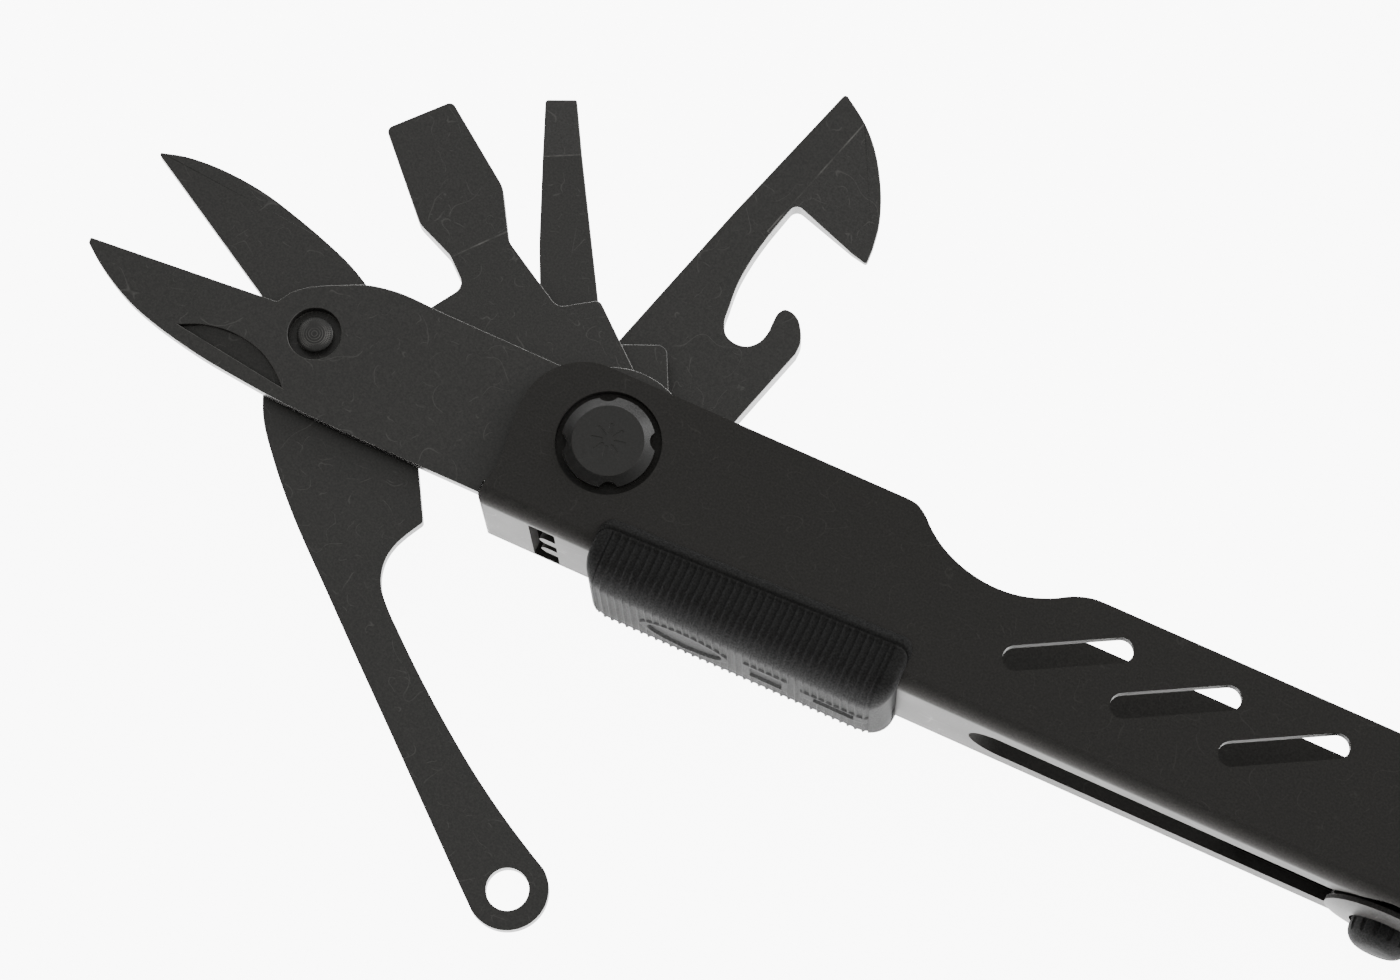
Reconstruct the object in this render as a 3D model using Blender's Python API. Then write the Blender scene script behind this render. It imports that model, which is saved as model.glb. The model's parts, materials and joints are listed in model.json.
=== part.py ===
"""Folding multi tool with a slide-out plier head, tools of one handle fanned out.

Each handle has its own frame: the origin is on the tool pivot, +X runs to the plier end, +Y to the
open side of the channel and z is 0 half-way between the cheeks. The jaws have a frame on their pivot.
Outlines are in millimetres; `mm` turns them into metres.
"""

import math

import bmesh
import bpy
from mathutils import Matrix, Vector

MM = 0.001
ARC_STEP = 20.0  # degrees of turn for each straight piece of an arc
CURVE_PIECES = 2  # straight pieces between two given points of a flowing curve
FIT = 0.1  # gap between faces that slide on each other

# Handle channel
CHANNEL_HALF = 8.8
CHEEK_INNER = 7.3
SPINE_OUTER = -12.25
SPINE_INNER = -10.75
SPINE_RADIUS = 2.0
FRONT_END = 115.2
TOOL_END = -11.3
OPEN_EDGE_REAR = 8.3
OPEN_EDGE_FRONT = 6.4
FAR_EDGE_FRONT = 5.1  # the far cheek is lower in front of the dip
WINDOW_FIRST = (58.15, -0.85)
WINDOW_PITCH = 13.3
WINDOW_COUNT = 3
WINDOW_TILT = 29.0
WINDOW_LENGTH = 15.0
WINDOW_WIDTH = 3.0
SPINE_WINDOW = (-4.6, -1.3, 6.6)
TRACK = (51.2, 100.0, 4.0)
BUTTON_OPENING_RADIUS = 8.0
LOCK_SLOT = (8.5, 31.0, 2.4)

# Pivot bolt, nut and spacer
SHANK_RADIUS = 2.8
BORE_RADIUS = 2.9
HEAD_RADIUS = 5.45
HEAD_TOP_RADIUS = 4.2
HEAD_OUTER = 9.8
HEAD_SEAT = 8.4
DIMPLE_RADIUS = 6.2
NOTCH_ANGLE = 25.0
TANG_RADIUS = 9.6

# Plier head
JAW_PIVOT = (122.0, 8.6)
SPREAD = 70.0
JAW_HALF = 3.7
JAW_PIN_RADIUS = 2.5
BOSS_RADIUS = 7.6
BUTTON_X = 103.1
BUTTON_RADIUS = 3.75
STEM_RADIUS = 2.2
COLLAR_RADIUS = 7.3

# Scissors
RIVET = (37.1, 1.9)
RIVET_HEAD_RADIUS = 2.15
RIVET_SHANK_RADIUS = 1.7
RIVET_RECESS = 0.7
LEVER_REST = 134.4
LEVER_LENGTH = 69.3

# Slide lock
LOCK_REAR, LOCK_FRONT = 3.4, 42.0
LOCK_OUTER = -16.0
LOCK_HALF = 9.7

# Layers of each stack, from the near cheek down: low and high z
LAYERS_A = {
    "scissors_fixed_blade": (5.6, 7.2),
    "scissors_lever_blade": (3.9, 5.5),
    "large_flat_driver": (1.0, 3.8),
    "small_flat_driver": (-1.7, 0.9),
    "can_opener": (-4.7, -1.8),
    "pivot_spacer": (-7.2, -4.8),
}
LAYERS_B = {
    "knife_blade": (4.8, 7.2),
    "file": (2.5, 4.7),
    "cross_head_driver": (-2.0, 2.4),
    "medium_flat_driver": (-4.7, -2.1),
    "lanyard_ring": (-6.0, -4.8),
    "pivot_spacer": (-7.2, -6.1),
}

# Angle of each tool from its folded place in the channel
REST_ANGLES = {
    "scissors_fixed_blade": 180.0,
    "large_flat_driver": 140.0,
    "small_flat_driver": 117.0,
    "can_opener": 74.0,
}

# Colour, metallic and roughness of each finish
FINISHES = {
    "black_sheet": ((0.030, 0.030, 0.029), 0.6, 0.42),
    "black_tool": ((0.036, 0.035, 0.033), 0.5, 0.48),
    "black_head": ((0.024, 0.024, 0.024), 0.6, 0.38),
    "black_jaw": ((0.028, 0.028, 0.028), 0.6, 0.45),
    "black_moulded": ((0.020, 0.020, 0.020), 0.0, 0.50),
    "spring_steel": ((0.42, 0.42, 0.43), 1.0, 0.30),
}


# Points


def arc(centre, radius, start, end, step=ARC_STEP):
    """Points on a circle from one angle to another, both ends included."""
    count = max(1, math.ceil(abs(end - start) / step))
    angles = [math.radians(start + (end - start) * i / count) for i in range(count + 1)]
    return [(centre[0] + radius * math.cos(a), centre[1] + radius * math.sin(a)) for a in angles]


def circle(radius, centre=(0.0, 0.0), step=ARC_STEP):
    return arc(centre, radius, 0.0, 360.0, step)[:-1]


def rounded(corners, step=ARC_STEP):
    """A closed outline from its corners: (x, y) is sharp, and (x, y, radius) gets a tangent arc."""
    points = []
    for i, corner in enumerate(corners):
        here = Vector(corner[:2])
        radius = corner[2] if len(corner) > 2 else 0.0
        back = (Vector(corners[i - 1][:2]) - here).normalized()
        ahead = (Vector(corners[(i + 1) % len(corners)][:2]) - here).normalized()
        opening = back.angle(ahead)
        turn = math.pi - opening
        if radius == 0.0 or turn < 0.01:
            points.append(tuple(here))
            continue
        reach = radius / math.tan(opening / 2)
        centre = here + (back + ahead).normalized() * radius / math.sin(opening / 2)
        start = here + back * reach - centre
        side = 1.0 if back.x * ahead.y - back.y * ahead.x < 0 else -1.0
        count = max(1, math.ceil(math.degrees(turn) / step))
        for j in range(count + 1):
            spoke = Matrix.Rotation(side * turn * j / count, 2) @ start
            points.append(tuple(centre + spoke))
    return points


def flowing(points, pieces=CURVE_PIECES):
    """Points on a smooth curve through the given ones, both ends included."""
    spots = [Vector(p) for p in points]
    gaps = [(b - a).length for a, b in zip(spots, spots[1:])]
    ways = [(b - a).normalized() for a, b in zip(spots, spots[1:])]
    slopes = [ways[0]]
    for i in range(1, len(ways)):
        slopes.append((ways[i - 1] * gaps[i] + ways[i] * gaps[i - 1]) / (gaps[i - 1] + gaps[i]))
    slopes.append(ways[-1])
    curve = []
    for i, gap in enumerate(gaps):
        for j in range(pieces):
            t = j / pieces
            near = spots[i] * (1 + 2 * t) * (1 - t) ** 2 + slopes[i] * gap * t * (1 - t) ** 2
            far = spots[i + 1] * t * t * (3 - 2 * t) - slopes[i + 1] * gap * t * t * (1 - t)
            curve.append(tuple(near + far))
    return [*curve, tuple(spots[-1])]


def stadium(centre, length, width, tilt=0.0, step=ARC_STEP):
    """Outline of a round-ended slot, tilted by an angle."""
    half = length / 2 - width / 2
    points = arc((half, 0), width / 2, -90, 90, step) + arc((-half, 0), width / 2, 90, 270, step)
    turn = Matrix.Rotation(math.radians(tilt), 2)
    return [tuple(Vector(centre) + turn @ Vector(p)) for p in points]


# Meshes


AXES = {
    "X": Matrix(((0, 0, 1), (1, 0, 0), (0, 1, 0))),
    "Y": Matrix(((1, 0, 0), (0, 0, 1), (0, -1, 0))),
    "Z": Matrix.Identity(3),
}


def finished(form, name):
    bmesh.ops.recalc_face_normals(form, faces=form.faces)
    bmesh.ops.scale(form, vec=(MM, MM, MM), verts=form.verts)
    mesh = bpy.data.meshes.new(name)
    form.to_mesh(mesh)
    form.free()
    return mesh


def prism(points, low, high, along="Z"):
    """An outline drawn out from low to high. Along X its points are (y, z), and along Y (x, -z)."""
    form = bmesh.new()
    turn = AXES[along]
    rings = [[form.verts.new(turn @ Vector((x, y, end))) for x, y in points] for end in (low, high)]
    form.faces.new(rings[0])
    form.faces.new(rings[1])
    for i in range(len(points)):
        j = (i + 1) % len(points)
        form.faces.new((rings[0][i], rings[0][j], rings[1][j], rings[1][i]))
    return finished(form, "prism")


def turned(profile, sides=24, along="Z", centre=(0.0, 0.0, 0.0)):
    """A solid of revolution: (radius, height) from one end to the other, a radius of 0 being a tip."""
    form = bmesh.new()
    turn = AXES[along]
    rings = []
    for radius, height in profile:
        spokes = [2 * math.pi * i / sides for i in range(sides if radius else 1)]
        rings.append(
            [
                form.verts.new(
                    turn @ Vector((radius * math.cos(a), radius * math.sin(a), height))
                    + Vector(centre)
                )
                for a in spokes
            ]
        )
    for lower, upper in zip(rings, rings[1:]):
        for i in range(sides):
            j = (i + 1) % sides
            corners = [lower[i % len(lower)], lower[j % len(lower)]]
            corners += [upper[j % len(upper)], upper[i % len(upper)]]
            form.faces.new(list(dict.fromkeys(corners)))
    for ring in (rings[0], rings[-1]):
        if len(ring) > 1:
            form.faces.new(ring)
    return finished(form, "turned")


def combined(mesh, others, operation="DIFFERENCE"):
    """The mesh with each of the others cut away from it, joined to it or kept in common with it."""
    body = bpy.data.objects.new("body", mesh)
    bpy.context.scene.collection.objects.link(body)
    helpers = []
    for other in others:
        helper = bpy.data.objects.new("helper", other)
        helper.hide_render = True
        helper.display_type = "WIRE"
        bpy.context.scene.collection.objects.link(helper)
        modifier = body.modifiers.new("Boolean", "BOOLEAN")
        modifier.object = helper
        modifier.operation = operation
        helpers.append(helper)
    bpy.context.view_layer.update()
    graph = bpy.context.evaluated_depsgraph_get()
    result = bpy.data.meshes.new_from_object(body.evaluated_get(graph))
    for extra in [body, *helpers]:
        bpy.data.objects.remove(extra)
    return result


def ground_tip(mesh, start, tip, tip_half, middle):
    """Thins a driver blade evenly from its full thickness at x = start to 2 x tip_half at x = tip."""
    form = bmesh.new()
    form.from_mesh(mesh)
    geometry = form.verts[:] + form.edges[:] + form.faces[:]
    bmesh.ops.bisect_plane(form, geom=geometry, plane_co=(start * MM, 0, 0), plane_no=(1, 0, 0))
    half = max(v.co.z for v in form.verts) - middle * MM
    for vertex in form.verts:
        along = (vertex.co.x / MM - start) / (tip - start)
        if along > 0:
            scale = 1 + (tip_half * MM / half - 1) * along
            vertex.co.z = middle * MM + (vertex.co.z - middle * MM) * scale
    form.to_mesh(mesh)
    form.free()
    return mesh


# Objects


def material(name):
    made = bpy.data.materials.get(name)
    if made:
        return made
    colour, metallic, roughness = FINISHES[name]
    made = bpy.data.materials.new(name)
    made.use_nodes = True
    shader = made.node_tree.nodes["Principled BSDF"]
    shader.inputs["Base Color"].default_value = (*colour, 1)
    shader.inputs["Metallic"].default_value = metallic
    shader.inputs["Roughness"].default_value = roughness
    made.diffuse_color = (*colour, 1)
    return made


def empty(name, parent=None, place=(0.0, 0.0, 0.0), turn=(0.0, 0.0, 0.0)):
    made = bpy.data.objects.new(name, None)
    bpy.context.scene.collection.objects.link(made)
    made.parent = parent
    made.location = [c * MM for c in place]
    made.rotation_euler = [math.radians(a) for a in turn]
    return made


def node(name, mesh, finish, parent, place=(0.0, 0.0, 0.0), angle=0.0):
    """One piece of the tool, placed on its parent and turned about its own z axis."""
    made = bpy.data.objects.new(name, mesh.copy())
    made.data.name = name
    made.data.materials.clear()
    made.data.materials.append(material(finish))
    made.data.shade_smooth()
    made.data.set_sharp_from_angle(angle=math.radians(30))
    bpy.context.scene.collection.objects.link(made)
    made.parent = parent
    made.location = [c * MM for c in place]
    made.rotation_euler.z = math.radians(angle)
    return made


# Handle and what is fixed to it


def channel_outline():
    dip = [
        (60.0, OPEN_EDGE_FRONT),
        (58.2, 6.3),
        (56.0, 5.6),
        (54.1, 4.5),
        (52.0, 3.6),
        (49.9, 3.05),
        (47.5, 2.85),
        (44.8, 3.1),
        (42.2, 3.8),
        (40.0, 4.8),
        (38.1, 6.1),
        (36.5, 7.5),
        (35.3, 8.15),
        (34.0, OPEN_EDGE_REAR),
    ]
    front = [(TOOL_END, SPINE_OUTER, 0.8), (FRONT_END, SPINE_OUTER, 0.8), (FRONT_END, OPEN_EDGE_FRONT, 1.5)]
    rear = [(TOOL_END, OPEN_EDGE_REAR, 7.7), (TOOL_END, -1.0, 3.0), (TOOL_END + 0.8, -7.0, 3.0)]
    return rounded(front + flowing(dip) + rear)


def channel_section():
    """The folded sheet's section, as (y, z)."""
    above = OPEN_EDGE_REAR + 10
    bend = SPINE_RADIUS - (CHANNEL_HALF - CHEEK_INNER)
    return rounded(
        [
            (above, CHANNEL_HALF),
            (SPINE_OUTER, CHANNEL_HALF, SPINE_RADIUS),
            (SPINE_OUTER, -CHANNEL_HALF, SPINE_RADIUS),
            (above, -CHANNEL_HALF),
            (above, -CHEEK_INNER),
            (SPINE_INNER, -CHEEK_INNER, bend),
            (SPINE_INNER, CHEEK_INNER, bend),
            (above, CHEEK_INNER),
        ],
        step=30.0,
    )


def handle_mesh():
    through = CHANNEL_HALF + 5
    sheet = combined(
        prism(channel_section(), TOOL_END - 5, FRONT_END + 5, "X"),
        [prism(channel_outline(), -through, through)],
        "INTERSECT",
    )
    below, above = SPINE_OUTER - 3, SPINE_INNER + 2
    over_far_edge = [
        (50.0, FAR_EDGE_FRONT),
        (FRONT_END + 5, FAR_EDGE_FRONT),
        (FRONT_END + 5, 20.0),
        (50.0, 20.0),
    ]
    cutters = [prism(circle(BORE_RADIUS), -through, through), prism(over_far_edge, -through, 0.0)]
    for side in (-1, 1):
        seat, beyond = sorted((side * HEAD_SEAT, side * through))
        cutters.append(prism(circle(DIMPLE_RADIUS, step=15), seat, beyond))
    for i in range(WINDOW_COUNT):
        centre = (WINDOW_FIRST[0] + i * WINDOW_PITCH, WINDOW_FIRST[1])
        slot = stadium(centre, WINDOW_LENGTH, WINDOW_WIDTH, WINDOW_TILT, 30.0)
        cutters.append(prism(slot, -through, through))
    for rear, front, half in (SPINE_WINDOW, LOCK_SLOT):
        opening = [(rear, -half), (front, -half), (front, half), (rear, half)]
        cutters.append(prism(opening, below, above, "Y"))
    rear, front, half = TRACK
    track = stadium(((rear + front) / 2, 0), front - rear, 2 * half, step=30.0)
    cutters.append(prism(track, below, above, "Y"))
    opening = circle(BUTTON_OPENING_RADIUS, (BUTTON_X, 0))
    cutters.append(prism(opening, below, SPINE_INNER + 0.45, "Y"))
    return combined(sheet, cutters)


def bolt_head_profile(seat, outer):
    rim = seat + 0.45 * (outer - seat)
    return [(HEAD_RADIUS, seat), (HEAD_RADIUS, rim), (HEAD_TOP_RADIUS, outer)]


def head_notches(seat, outer):
    low, high = sorted((seat - math.copysign(1, outer), outer + math.copysign(1, outer)))
    return [
        prism(circle(1.3, (6.1 * math.cos(a), 6.1 * math.sin(a)), 36.0), low, high)
        for a in (math.radians(NOTCH_ANGLE + 90 * i) for i in range(4))
    ]


def bolt_mesh():
    seat = HEAD_SEAT + FIT
    shank = [(SHANK_RADIUS, 0.5 - HEAD_OUTER), (SHANK_RADIUS, seat)]
    return combined(
        turned(shank + bolt_head_profile(seat, HEAD_OUTER)), head_notches(seat, HEAD_OUTER)
    )


def nut_mesh():
    seat = -HEAD_SEAT - FIT
    outside = list(reversed(bolt_head_profile(seat, -HEAD_OUTER)))
    pocket = [(BORE_RADIUS, seat), (BORE_RADIUS, 0.4 - HEAD_OUTER)]
    return combined(turned(outside + pocket), head_notches(seat, -HEAD_OUTER))


def spacer_mesh(low, high):
    return combined(prism(circle(7.0), low, high), [prism(circle(BORE_RADIUS), low - 1, high + 1)])


# Tools


def tool_mesh(outline, layer, holes=()):
    """A flat tool: its outline between the layer's faces, bored for the pivot bolt."""
    low, high = layer
    bores = [circle(BORE_RADIUS), *holes]
    return combined(
        prism(outline, low, high), [prism(bore, low - 1, high + 1) for bore in bores]
    )


def tang(lower_y):
    """The round end about the pivot, from its top round the back to the tool's lower edge."""
    return arc((0, 0), TANG_RADIUS, 90, 360 + math.degrees(math.asin(lower_y / TANG_RADIUS)))


def scissors_fixed_mesh(layer):
    belly = [
        (24.0, -6.6),
        (31.3, -6.6),
        (34.1, -6.0),
        (36.7, -4.8),
        (38.9, -3.7),
        (41.0, -2.3),
        (41.9, -1.4),
    ]
    cutting = [(42.8, 0.2, 0.5), (66.3, 2.2, 0.2)]
    back = [
        (66.2, 2.9),
        (64.9, 3.9),
        (61.7, 5.9),
        (58.3, 7.5),
        (54.7, 8.6),
        (51.0, 9.4),
        (47.4, 10.0),
        (43.7, 10.4),
        (38.0, 10.9),
        (28.0, 11.2),
    ]
    stop_corner = [(11.45, 11.2), (11.45, TANG_RADIUS)]
    outline = rounded(flowing(belly) + cutting + flowing(back) + stop_corner + tang(-6.5))
    low, high = layer
    blade = tool_mesh(outline, layer, [circle(RIVET_SHANK_RADIUS + FIT, RIVET)])
    counterbore = prism(circle(3.15, RIVET), high - RIVET_RECESS, high + 1)
    crescent = [(37.6, 9.4), (39.6, 7.7), (41.8, 6.5), (44.1, 5.9), (46.5, 5.8), (49.1, 6.2), (52.2, 7.5)]
    nick = prism(flowing(crescent), high - 0.9, high + 1)
    for vertex in nick.vertices:
        if vertex.co.z < high * MM:
            from_edge = (7.5 - vertex.co.y / MM) * 0.99 - (vertex.co.x / MM - 52.2) * 0.13
            vertex.co.z += 0.24 * MM * max(0.0, from_edge)
    return combined(blade, [counterbore, nick])


def scissors_lever_mesh(layer):
    """Own frame: the rivet at the origin and the finger eye along +X."""
    cutting = [(-28.0, -10.4, 0.3), (-6.5, -4.2, 3.0)]
    arm_below = [(3.0, -7.5), (7.0, -8.8), (12.7, -9.3), (18.0, -9.3), (30.0, -8.35), (50.0, -6.5), (66.5, -5.0)]
    eye = arc((LEVER_LENGTH, 0), 4.7, -80, 100)
    arm_above = [
        (66.7, 4.0),
        (62.3, 2.6),
        (55.4, 0.8),
        (48.7, -0.5),
        (42.2, -1.5),
        (37.0, -2.1),
        (33.5, -2.4),
        (31.3, -2.35),
        (29.5, -1.75),
        (27.9, -0.6),
        (26.8, 0.9),
        (26.1, 2.5),
    ]
    blade_back = [
        (16.0, 7.0),
        (6.0, 8.3),
        (-1.5, 8.2),
        (-6.6, 6.8),
        (-11.2, 4.6),
        (-15.1, 2.4),
        (-18.9, 0.0),
        (-22.0, -2.5),
        (-24.8, -5.3),
        (-26.6, -7.6),
        (-28.0, -10.1),
    ]
    corner = [(25.4, 4.7, 0.5)]
    outline = rounded(cutting + flowing(arm_below) + eye + flowing(arm_above) + corner + flowing(blade_back))
    low, high = layer
    bores = [circle(RIVET_SHANK_RADIUS + FIT), circle(2.45, (LEVER_LENGTH, 0))]
    return combined(
        prism(outline, low, high), [prism(bore, low - 1, high + 1) for bore in bores]
    )


def rivet_mesh():
    top = LAYERS_A["scissors_fixed_blade"][1]
    seat = top - 0.6
    bottom = LAYERS_A["scissors_lever_blade"][0]
    profile = [
        (RIVET_SHANK_RADIUS, bottom),
        (RIVET_SHANK_RADIUS, seat),
        (RIVET_HEAD_RADIUS, seat),
        (RIVET_HEAD_RADIUS, top - 0.25),
        (1.6, top - 0.02),
        (0, top),
    ]
    return turned(profile, 20)


def large_driver_mesh(layer):
    outline = [
        (17.6, -6.8, 0.8),
        (19.0, -1.9, 1.5),
        (28.8, -0.15, 2.5),
        (35.4, -2.35, 3.5),
        (48.0, -1.4, 0.8),
        (48.3, 7.1, 0.8),
        (35.4, 8.45, 2.5),
        (30.3, 6.85, 2.0),
        (26.0, 6.9, 1.5),
        (25.2, 12.5, 1.2),
        (16.0, 12.3, 4.0),
        (12.0, TANG_RADIUS, 3.0),
    ]
    mesh = tool_mesh(rounded(outline + tang(-6.8)), layer)
    return ground_tip(mesh, 30.0, 48.0, 0.5, sum(layer) / 2)


def narrow_driver_mesh(layer, tip_low, tip_high, root_high):
    outline = [
        (13.9, -7.0, 1.2),
        (14.3, 0.3, 0.8),
        (20.0, 0.95, 6.0),
        (38.1, 2.3),
        (45.3, tip_low, 0.3),
        (45.5, tip_high, 0.4),
        (27.0, root_high, 30.0),
        (18.5, root_high + 0.1, 6.0),
        (12.5, TANG_RADIUS, 4.0),
    ]
    mesh = tool_mesh(rounded(outline + tang(-7.0)), layer)
    return ground_tip(mesh, 38.0, 45.2, 0.4, sum(layer) / 2)


def can_opener_mesh(layer):
    notch = [
        (24.6, -7.35),
        (26.0, -6.9),
        (27.3, -5.8),
        (28.0, -4.8),
        (28.2, -3.6),
        (27.9, -2.8),
        (27.1, -2.5),
        (26.0, -2.7),
        (24.4, -3.15),
        (22.8, -3.1),
        (21.5, -2.3),
        (20.9, -1.0),
        (20.95, 0.3),
        (21.8, 1.4),
        (24.1, 2.5),
        (26.7, 3.5),
        (29.8, 4.2),
        (33.0, 4.6),
        (37.3, 4.8),
    ]
    claw = [(38.9, 4.8, 1.0), (38.8, -4.0), (39.0, -6.15, 0.3)]
    edge = [
        (40.9, -5.5),
        (43.6, -4.2),
        (46.0, -2.5),
        (48.2, -0.4),
        (49.9, 1.6),
        (51.3, 3.8),
        (52.4, 6.4),
        (53.1, 8.6),
    ]
    back = [(53.3, 9.3, 0.4), (33.0, 9.7, 60.0)]
    outline = flowing(notch) + claw + flowing(edge) + back
    top = layer[1]
    above_facet = [(5.2, top + 0.02), (-8.0, top - 2.4), (-8.0, top + 1), (5.2, top + 1)]
    blade = tool_mesh(rounded(outline + tang(-7.35)), layer)
    return combined(blade, [prism(above_facet, 34.0, 60.0, "X")])


def knife_mesh(layer):
    outline = [
        (16.0, -7.0, 1.0),
        (18.0, -8.2, 1.0),
        (66.0, -8.2, 30.0),
        (85.0, 1.5, 0.3),
        (62.0, 7.4, 20.0),
        (12.0, 8.2, 6.0),
    ]
    mesh = tool_mesh(rounded(outline + tang(-7.0)), layer)
    low, high = layer
    thumb_hole = stadium((30.0, 4.3), 11.0, 3.4)
    return combined(mesh, [prism(thumb_hole, low - 1, high + 1)])


def file_mesh(layer):
    outline = [(70.0, -6.2, 1.5), (70.0, 6.4, 1.5), (16.0, 6.4, 2.0), (12.0, 9.0, 3.0)]
    return tool_mesh(rounded(outline + tang(-6.2)), layer)


def cross_head_driver_mesh(layer):
    middle = sum(layer) / 2
    root = [(18.0, -6.5, 2.0), (18.0, 6.0, 2.0), (12.0, 9.0, 3.0)]
    tang_plate = tool_mesh(rounded(root + tang(-6.5)), layer)
    profile = [(2.1, 15.0), (2.1, 40.0), (0.9, 46.0), (0.0, 46.6)]
    shank = turned(profile, 12, "X", (0.0, 1.5, middle))
    flutes = []
    for i in range(4):
        quarter = math.radians(45 + 90 * i)
        centre = (1.5 + 1.75 * math.cos(quarter), middle + 1.75 * math.sin(quarter))
        flutes.append(prism(circle(0.9, centre, 45.0), 41.0, 50.0, "X"))
    return combined(combined(tang_plate, [shank], "UNION"), flutes)


def lanyard_ring_mesh(layer):
    eye = (19.0, -1.0)
    outline = arc(eye, 5.2, -75, 75) + [(14.0, 7.0, 4.0)] + tang(-6.0)
    return tool_mesh(rounded(outline), layer, [circle(3.2, eye)])


# Slide lock


def slide_lock_mesh():
    """A shell round the spine; its lips reach over both cheeks."""
    gap = FIT
    above = 0.0
    section = rounded(
        [
            (above, LOCK_HALF),
            (LOCK_OUTER, LOCK_HALF, 3.2),
            (LOCK_OUTER, -LOCK_HALF, 3.2),
            (above, -LOCK_HALF),
            (above, -CHANNEL_HALF - gap),
            (SPINE_OUTER - gap, -CHANNEL_HALF - gap, SPINE_RADIUS + gap),
            (SPINE_OUTER - gap, CHANNEL_HALF + gap, SPINE_RADIUS + gap),
            (above, CHANNEL_HALF + gap),
        ],
        step=15.0,
    )
    side = rounded(
        [
            (LOCK_REAR, LOCK_OUTER - 0.5, 4.0),
            (LOCK_FRONT, LOCK_OUTER - 0.5, 3.2),
            (LOCK_FRONT, -6.7, 1.4),
            (LOCK_REAR, -8.0, 2.0),
        ]
    )
    return combined(
        prism(section, LOCK_REAR - 2, LOCK_FRONT + 2, "X"), [prism(side, -20, 20)], "INTERSECT"
    )


def lock_tongue_mesh():
    """The plate inside the channel, with a neck through the slot in the spine."""
    low = SPINE_INNER + 0.2
    plate = prism(
        rounded([(2.0, -6.3, 1.0), (36.0, -6.3, 1.0), (36.0, 6.3, 1.0), (2.0, 6.3, 1.0)]),
        low,
        low + 0.7,
        "Y",
    )
    neck = [(14.0, -2.0), (30.0, -2.0), (30.0, 2.0), (14.0, 2.0)]
    return combined(plate, [prism(neck, SPINE_OUTER, low + 0.3, "Y")], "UNION")


# Plier head


def jaw_mesh():
    """Frame on the jaws' pivot, +X to the tip. The other jaw is the same piece turned over."""
    mid_gap = 0.15
    beak = [(33.5, mid_gap, 0.3), (33.5, 2.4, 1.2), (21.0, 5.6, 20.0), (9.0, 7.3, 4.0)]
    boss_top = arc((0, 0), BOSS_RADIUS, 52, 165)
    tang_part = [
        (-10.5, -1.5, 3.0),
        (-12.0, -6.1, 3.0),
        (-30.0, -6.1, 1.0),
        (-30.0, -15.6, 1.0),
        (-9.0, -15.6, 1.0),
        (-7.2, -6.5, 2.0),
    ]
    boss_low = arc((0, 0), BOSS_RADIUS, 232, 350) + [(BOSS_RADIUS, mid_gap)]
    outline = rounded(beak + boss_top + tang_part + boss_low)
    through = JAW_HALF + 1
    cutters = [
        prism(circle(BOSS_RADIUS + 0.3, step=15.0), -0.1, through),
        prism(circle(JAW_PIN_RADIUS + FIT), -through, through),
        prism([(4.0, -2.0), (8.4, -2.0), (7.0, 2.2), (5.2, 2.2)], -through, through),
    ]
    for side in (-1, 1):
        slope = [(14.0, side * (JAW_HALF + 0.01)), (36.0, side * 1.9), (36.0, side * 6.0), (14.0, side * 6.0)]
        cutters.append(prism([(x, -z) for x, z in slope], -20.0, 20.0, "Y"))
    pipe_grip = prism(circle(2.6, (18.0, -0.9), 30.0), -through, through)
    teeth = []
    for i in range(8):
        x = 23.0 + 1.2 * i
        teeth.append(prism([(x, -1), (x + 1.0, -1), (x + 0.5, 0.65)], -through, through))
    return combined(prism(outline, -JAW_HALF, JAW_HALF), [*cutters, pipe_grip, *teeth])


def carriage_mesh():
    """Handle frame: a deck under the jaw's tang, with a sloped collar outside the spine.

    Two posts through the track hold the collar, so the head can slide.
    """
    deck = rounded([(84.0, -7.1, 1.0), (111.8, -7.1, 1.0), (111.8, 7.1, 1.0), (84.0, 7.1, 1.0)])
    low, high = SPINE_INNER + 0.25, -7.3
    under = SPINE_OUTER - FIT
    additions = [
        turned(
            [(COLLAR_RADIUS, under), (COLLAR_RADIUS, under - 0.6), (4.9, -13.5)],
            24,
            "Y",
            (BUTTON_X, 0.0, 0.0),
        )
    ]
    for side in (-1, 1):
        near, far = sorted((BUTTON_X + side * 4.7, BUTTON_X + side * 6.8))
        post = [(near, -3.5), (far, -3.5), (far, 3.5), (near, 3.5)]
        additions.append(prism(post, under - 0.1, low + 0.3, "Y"))
    body = combined(prism(deck, low, high, "Y"), additions, "UNION")
    bore = [
        (BUTTON_RADIUS + 0.3, -15.0),
        (BUTTON_RADIUS + 0.3, -11.0),
        (STEM_RADIUS + 0.3, -11.0),
        (STEM_RADIUS + 0.3, -5.0),
    ]
    return combined(body, [turned(bore, 24, "Y", (BUTTON_X, 0.0, 0.0))])


def button_mesh():
    """Handle frame: a domed stud on a stem that slides in the carriage."""
    profile = [
        (STEM_RADIUS, -9.6),
        (STEM_RADIUS, -12.7),
        (BUTTON_RADIUS, -12.7),
        (BUTTON_RADIUS, -14.2),
        (3.2, -15.3),
        (2.0, -15.95),
        (0.0, -16.2),
    ]
    return turned(profile, 24, "Y", (BUTTON_X, 0.0, 0.0))


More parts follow.
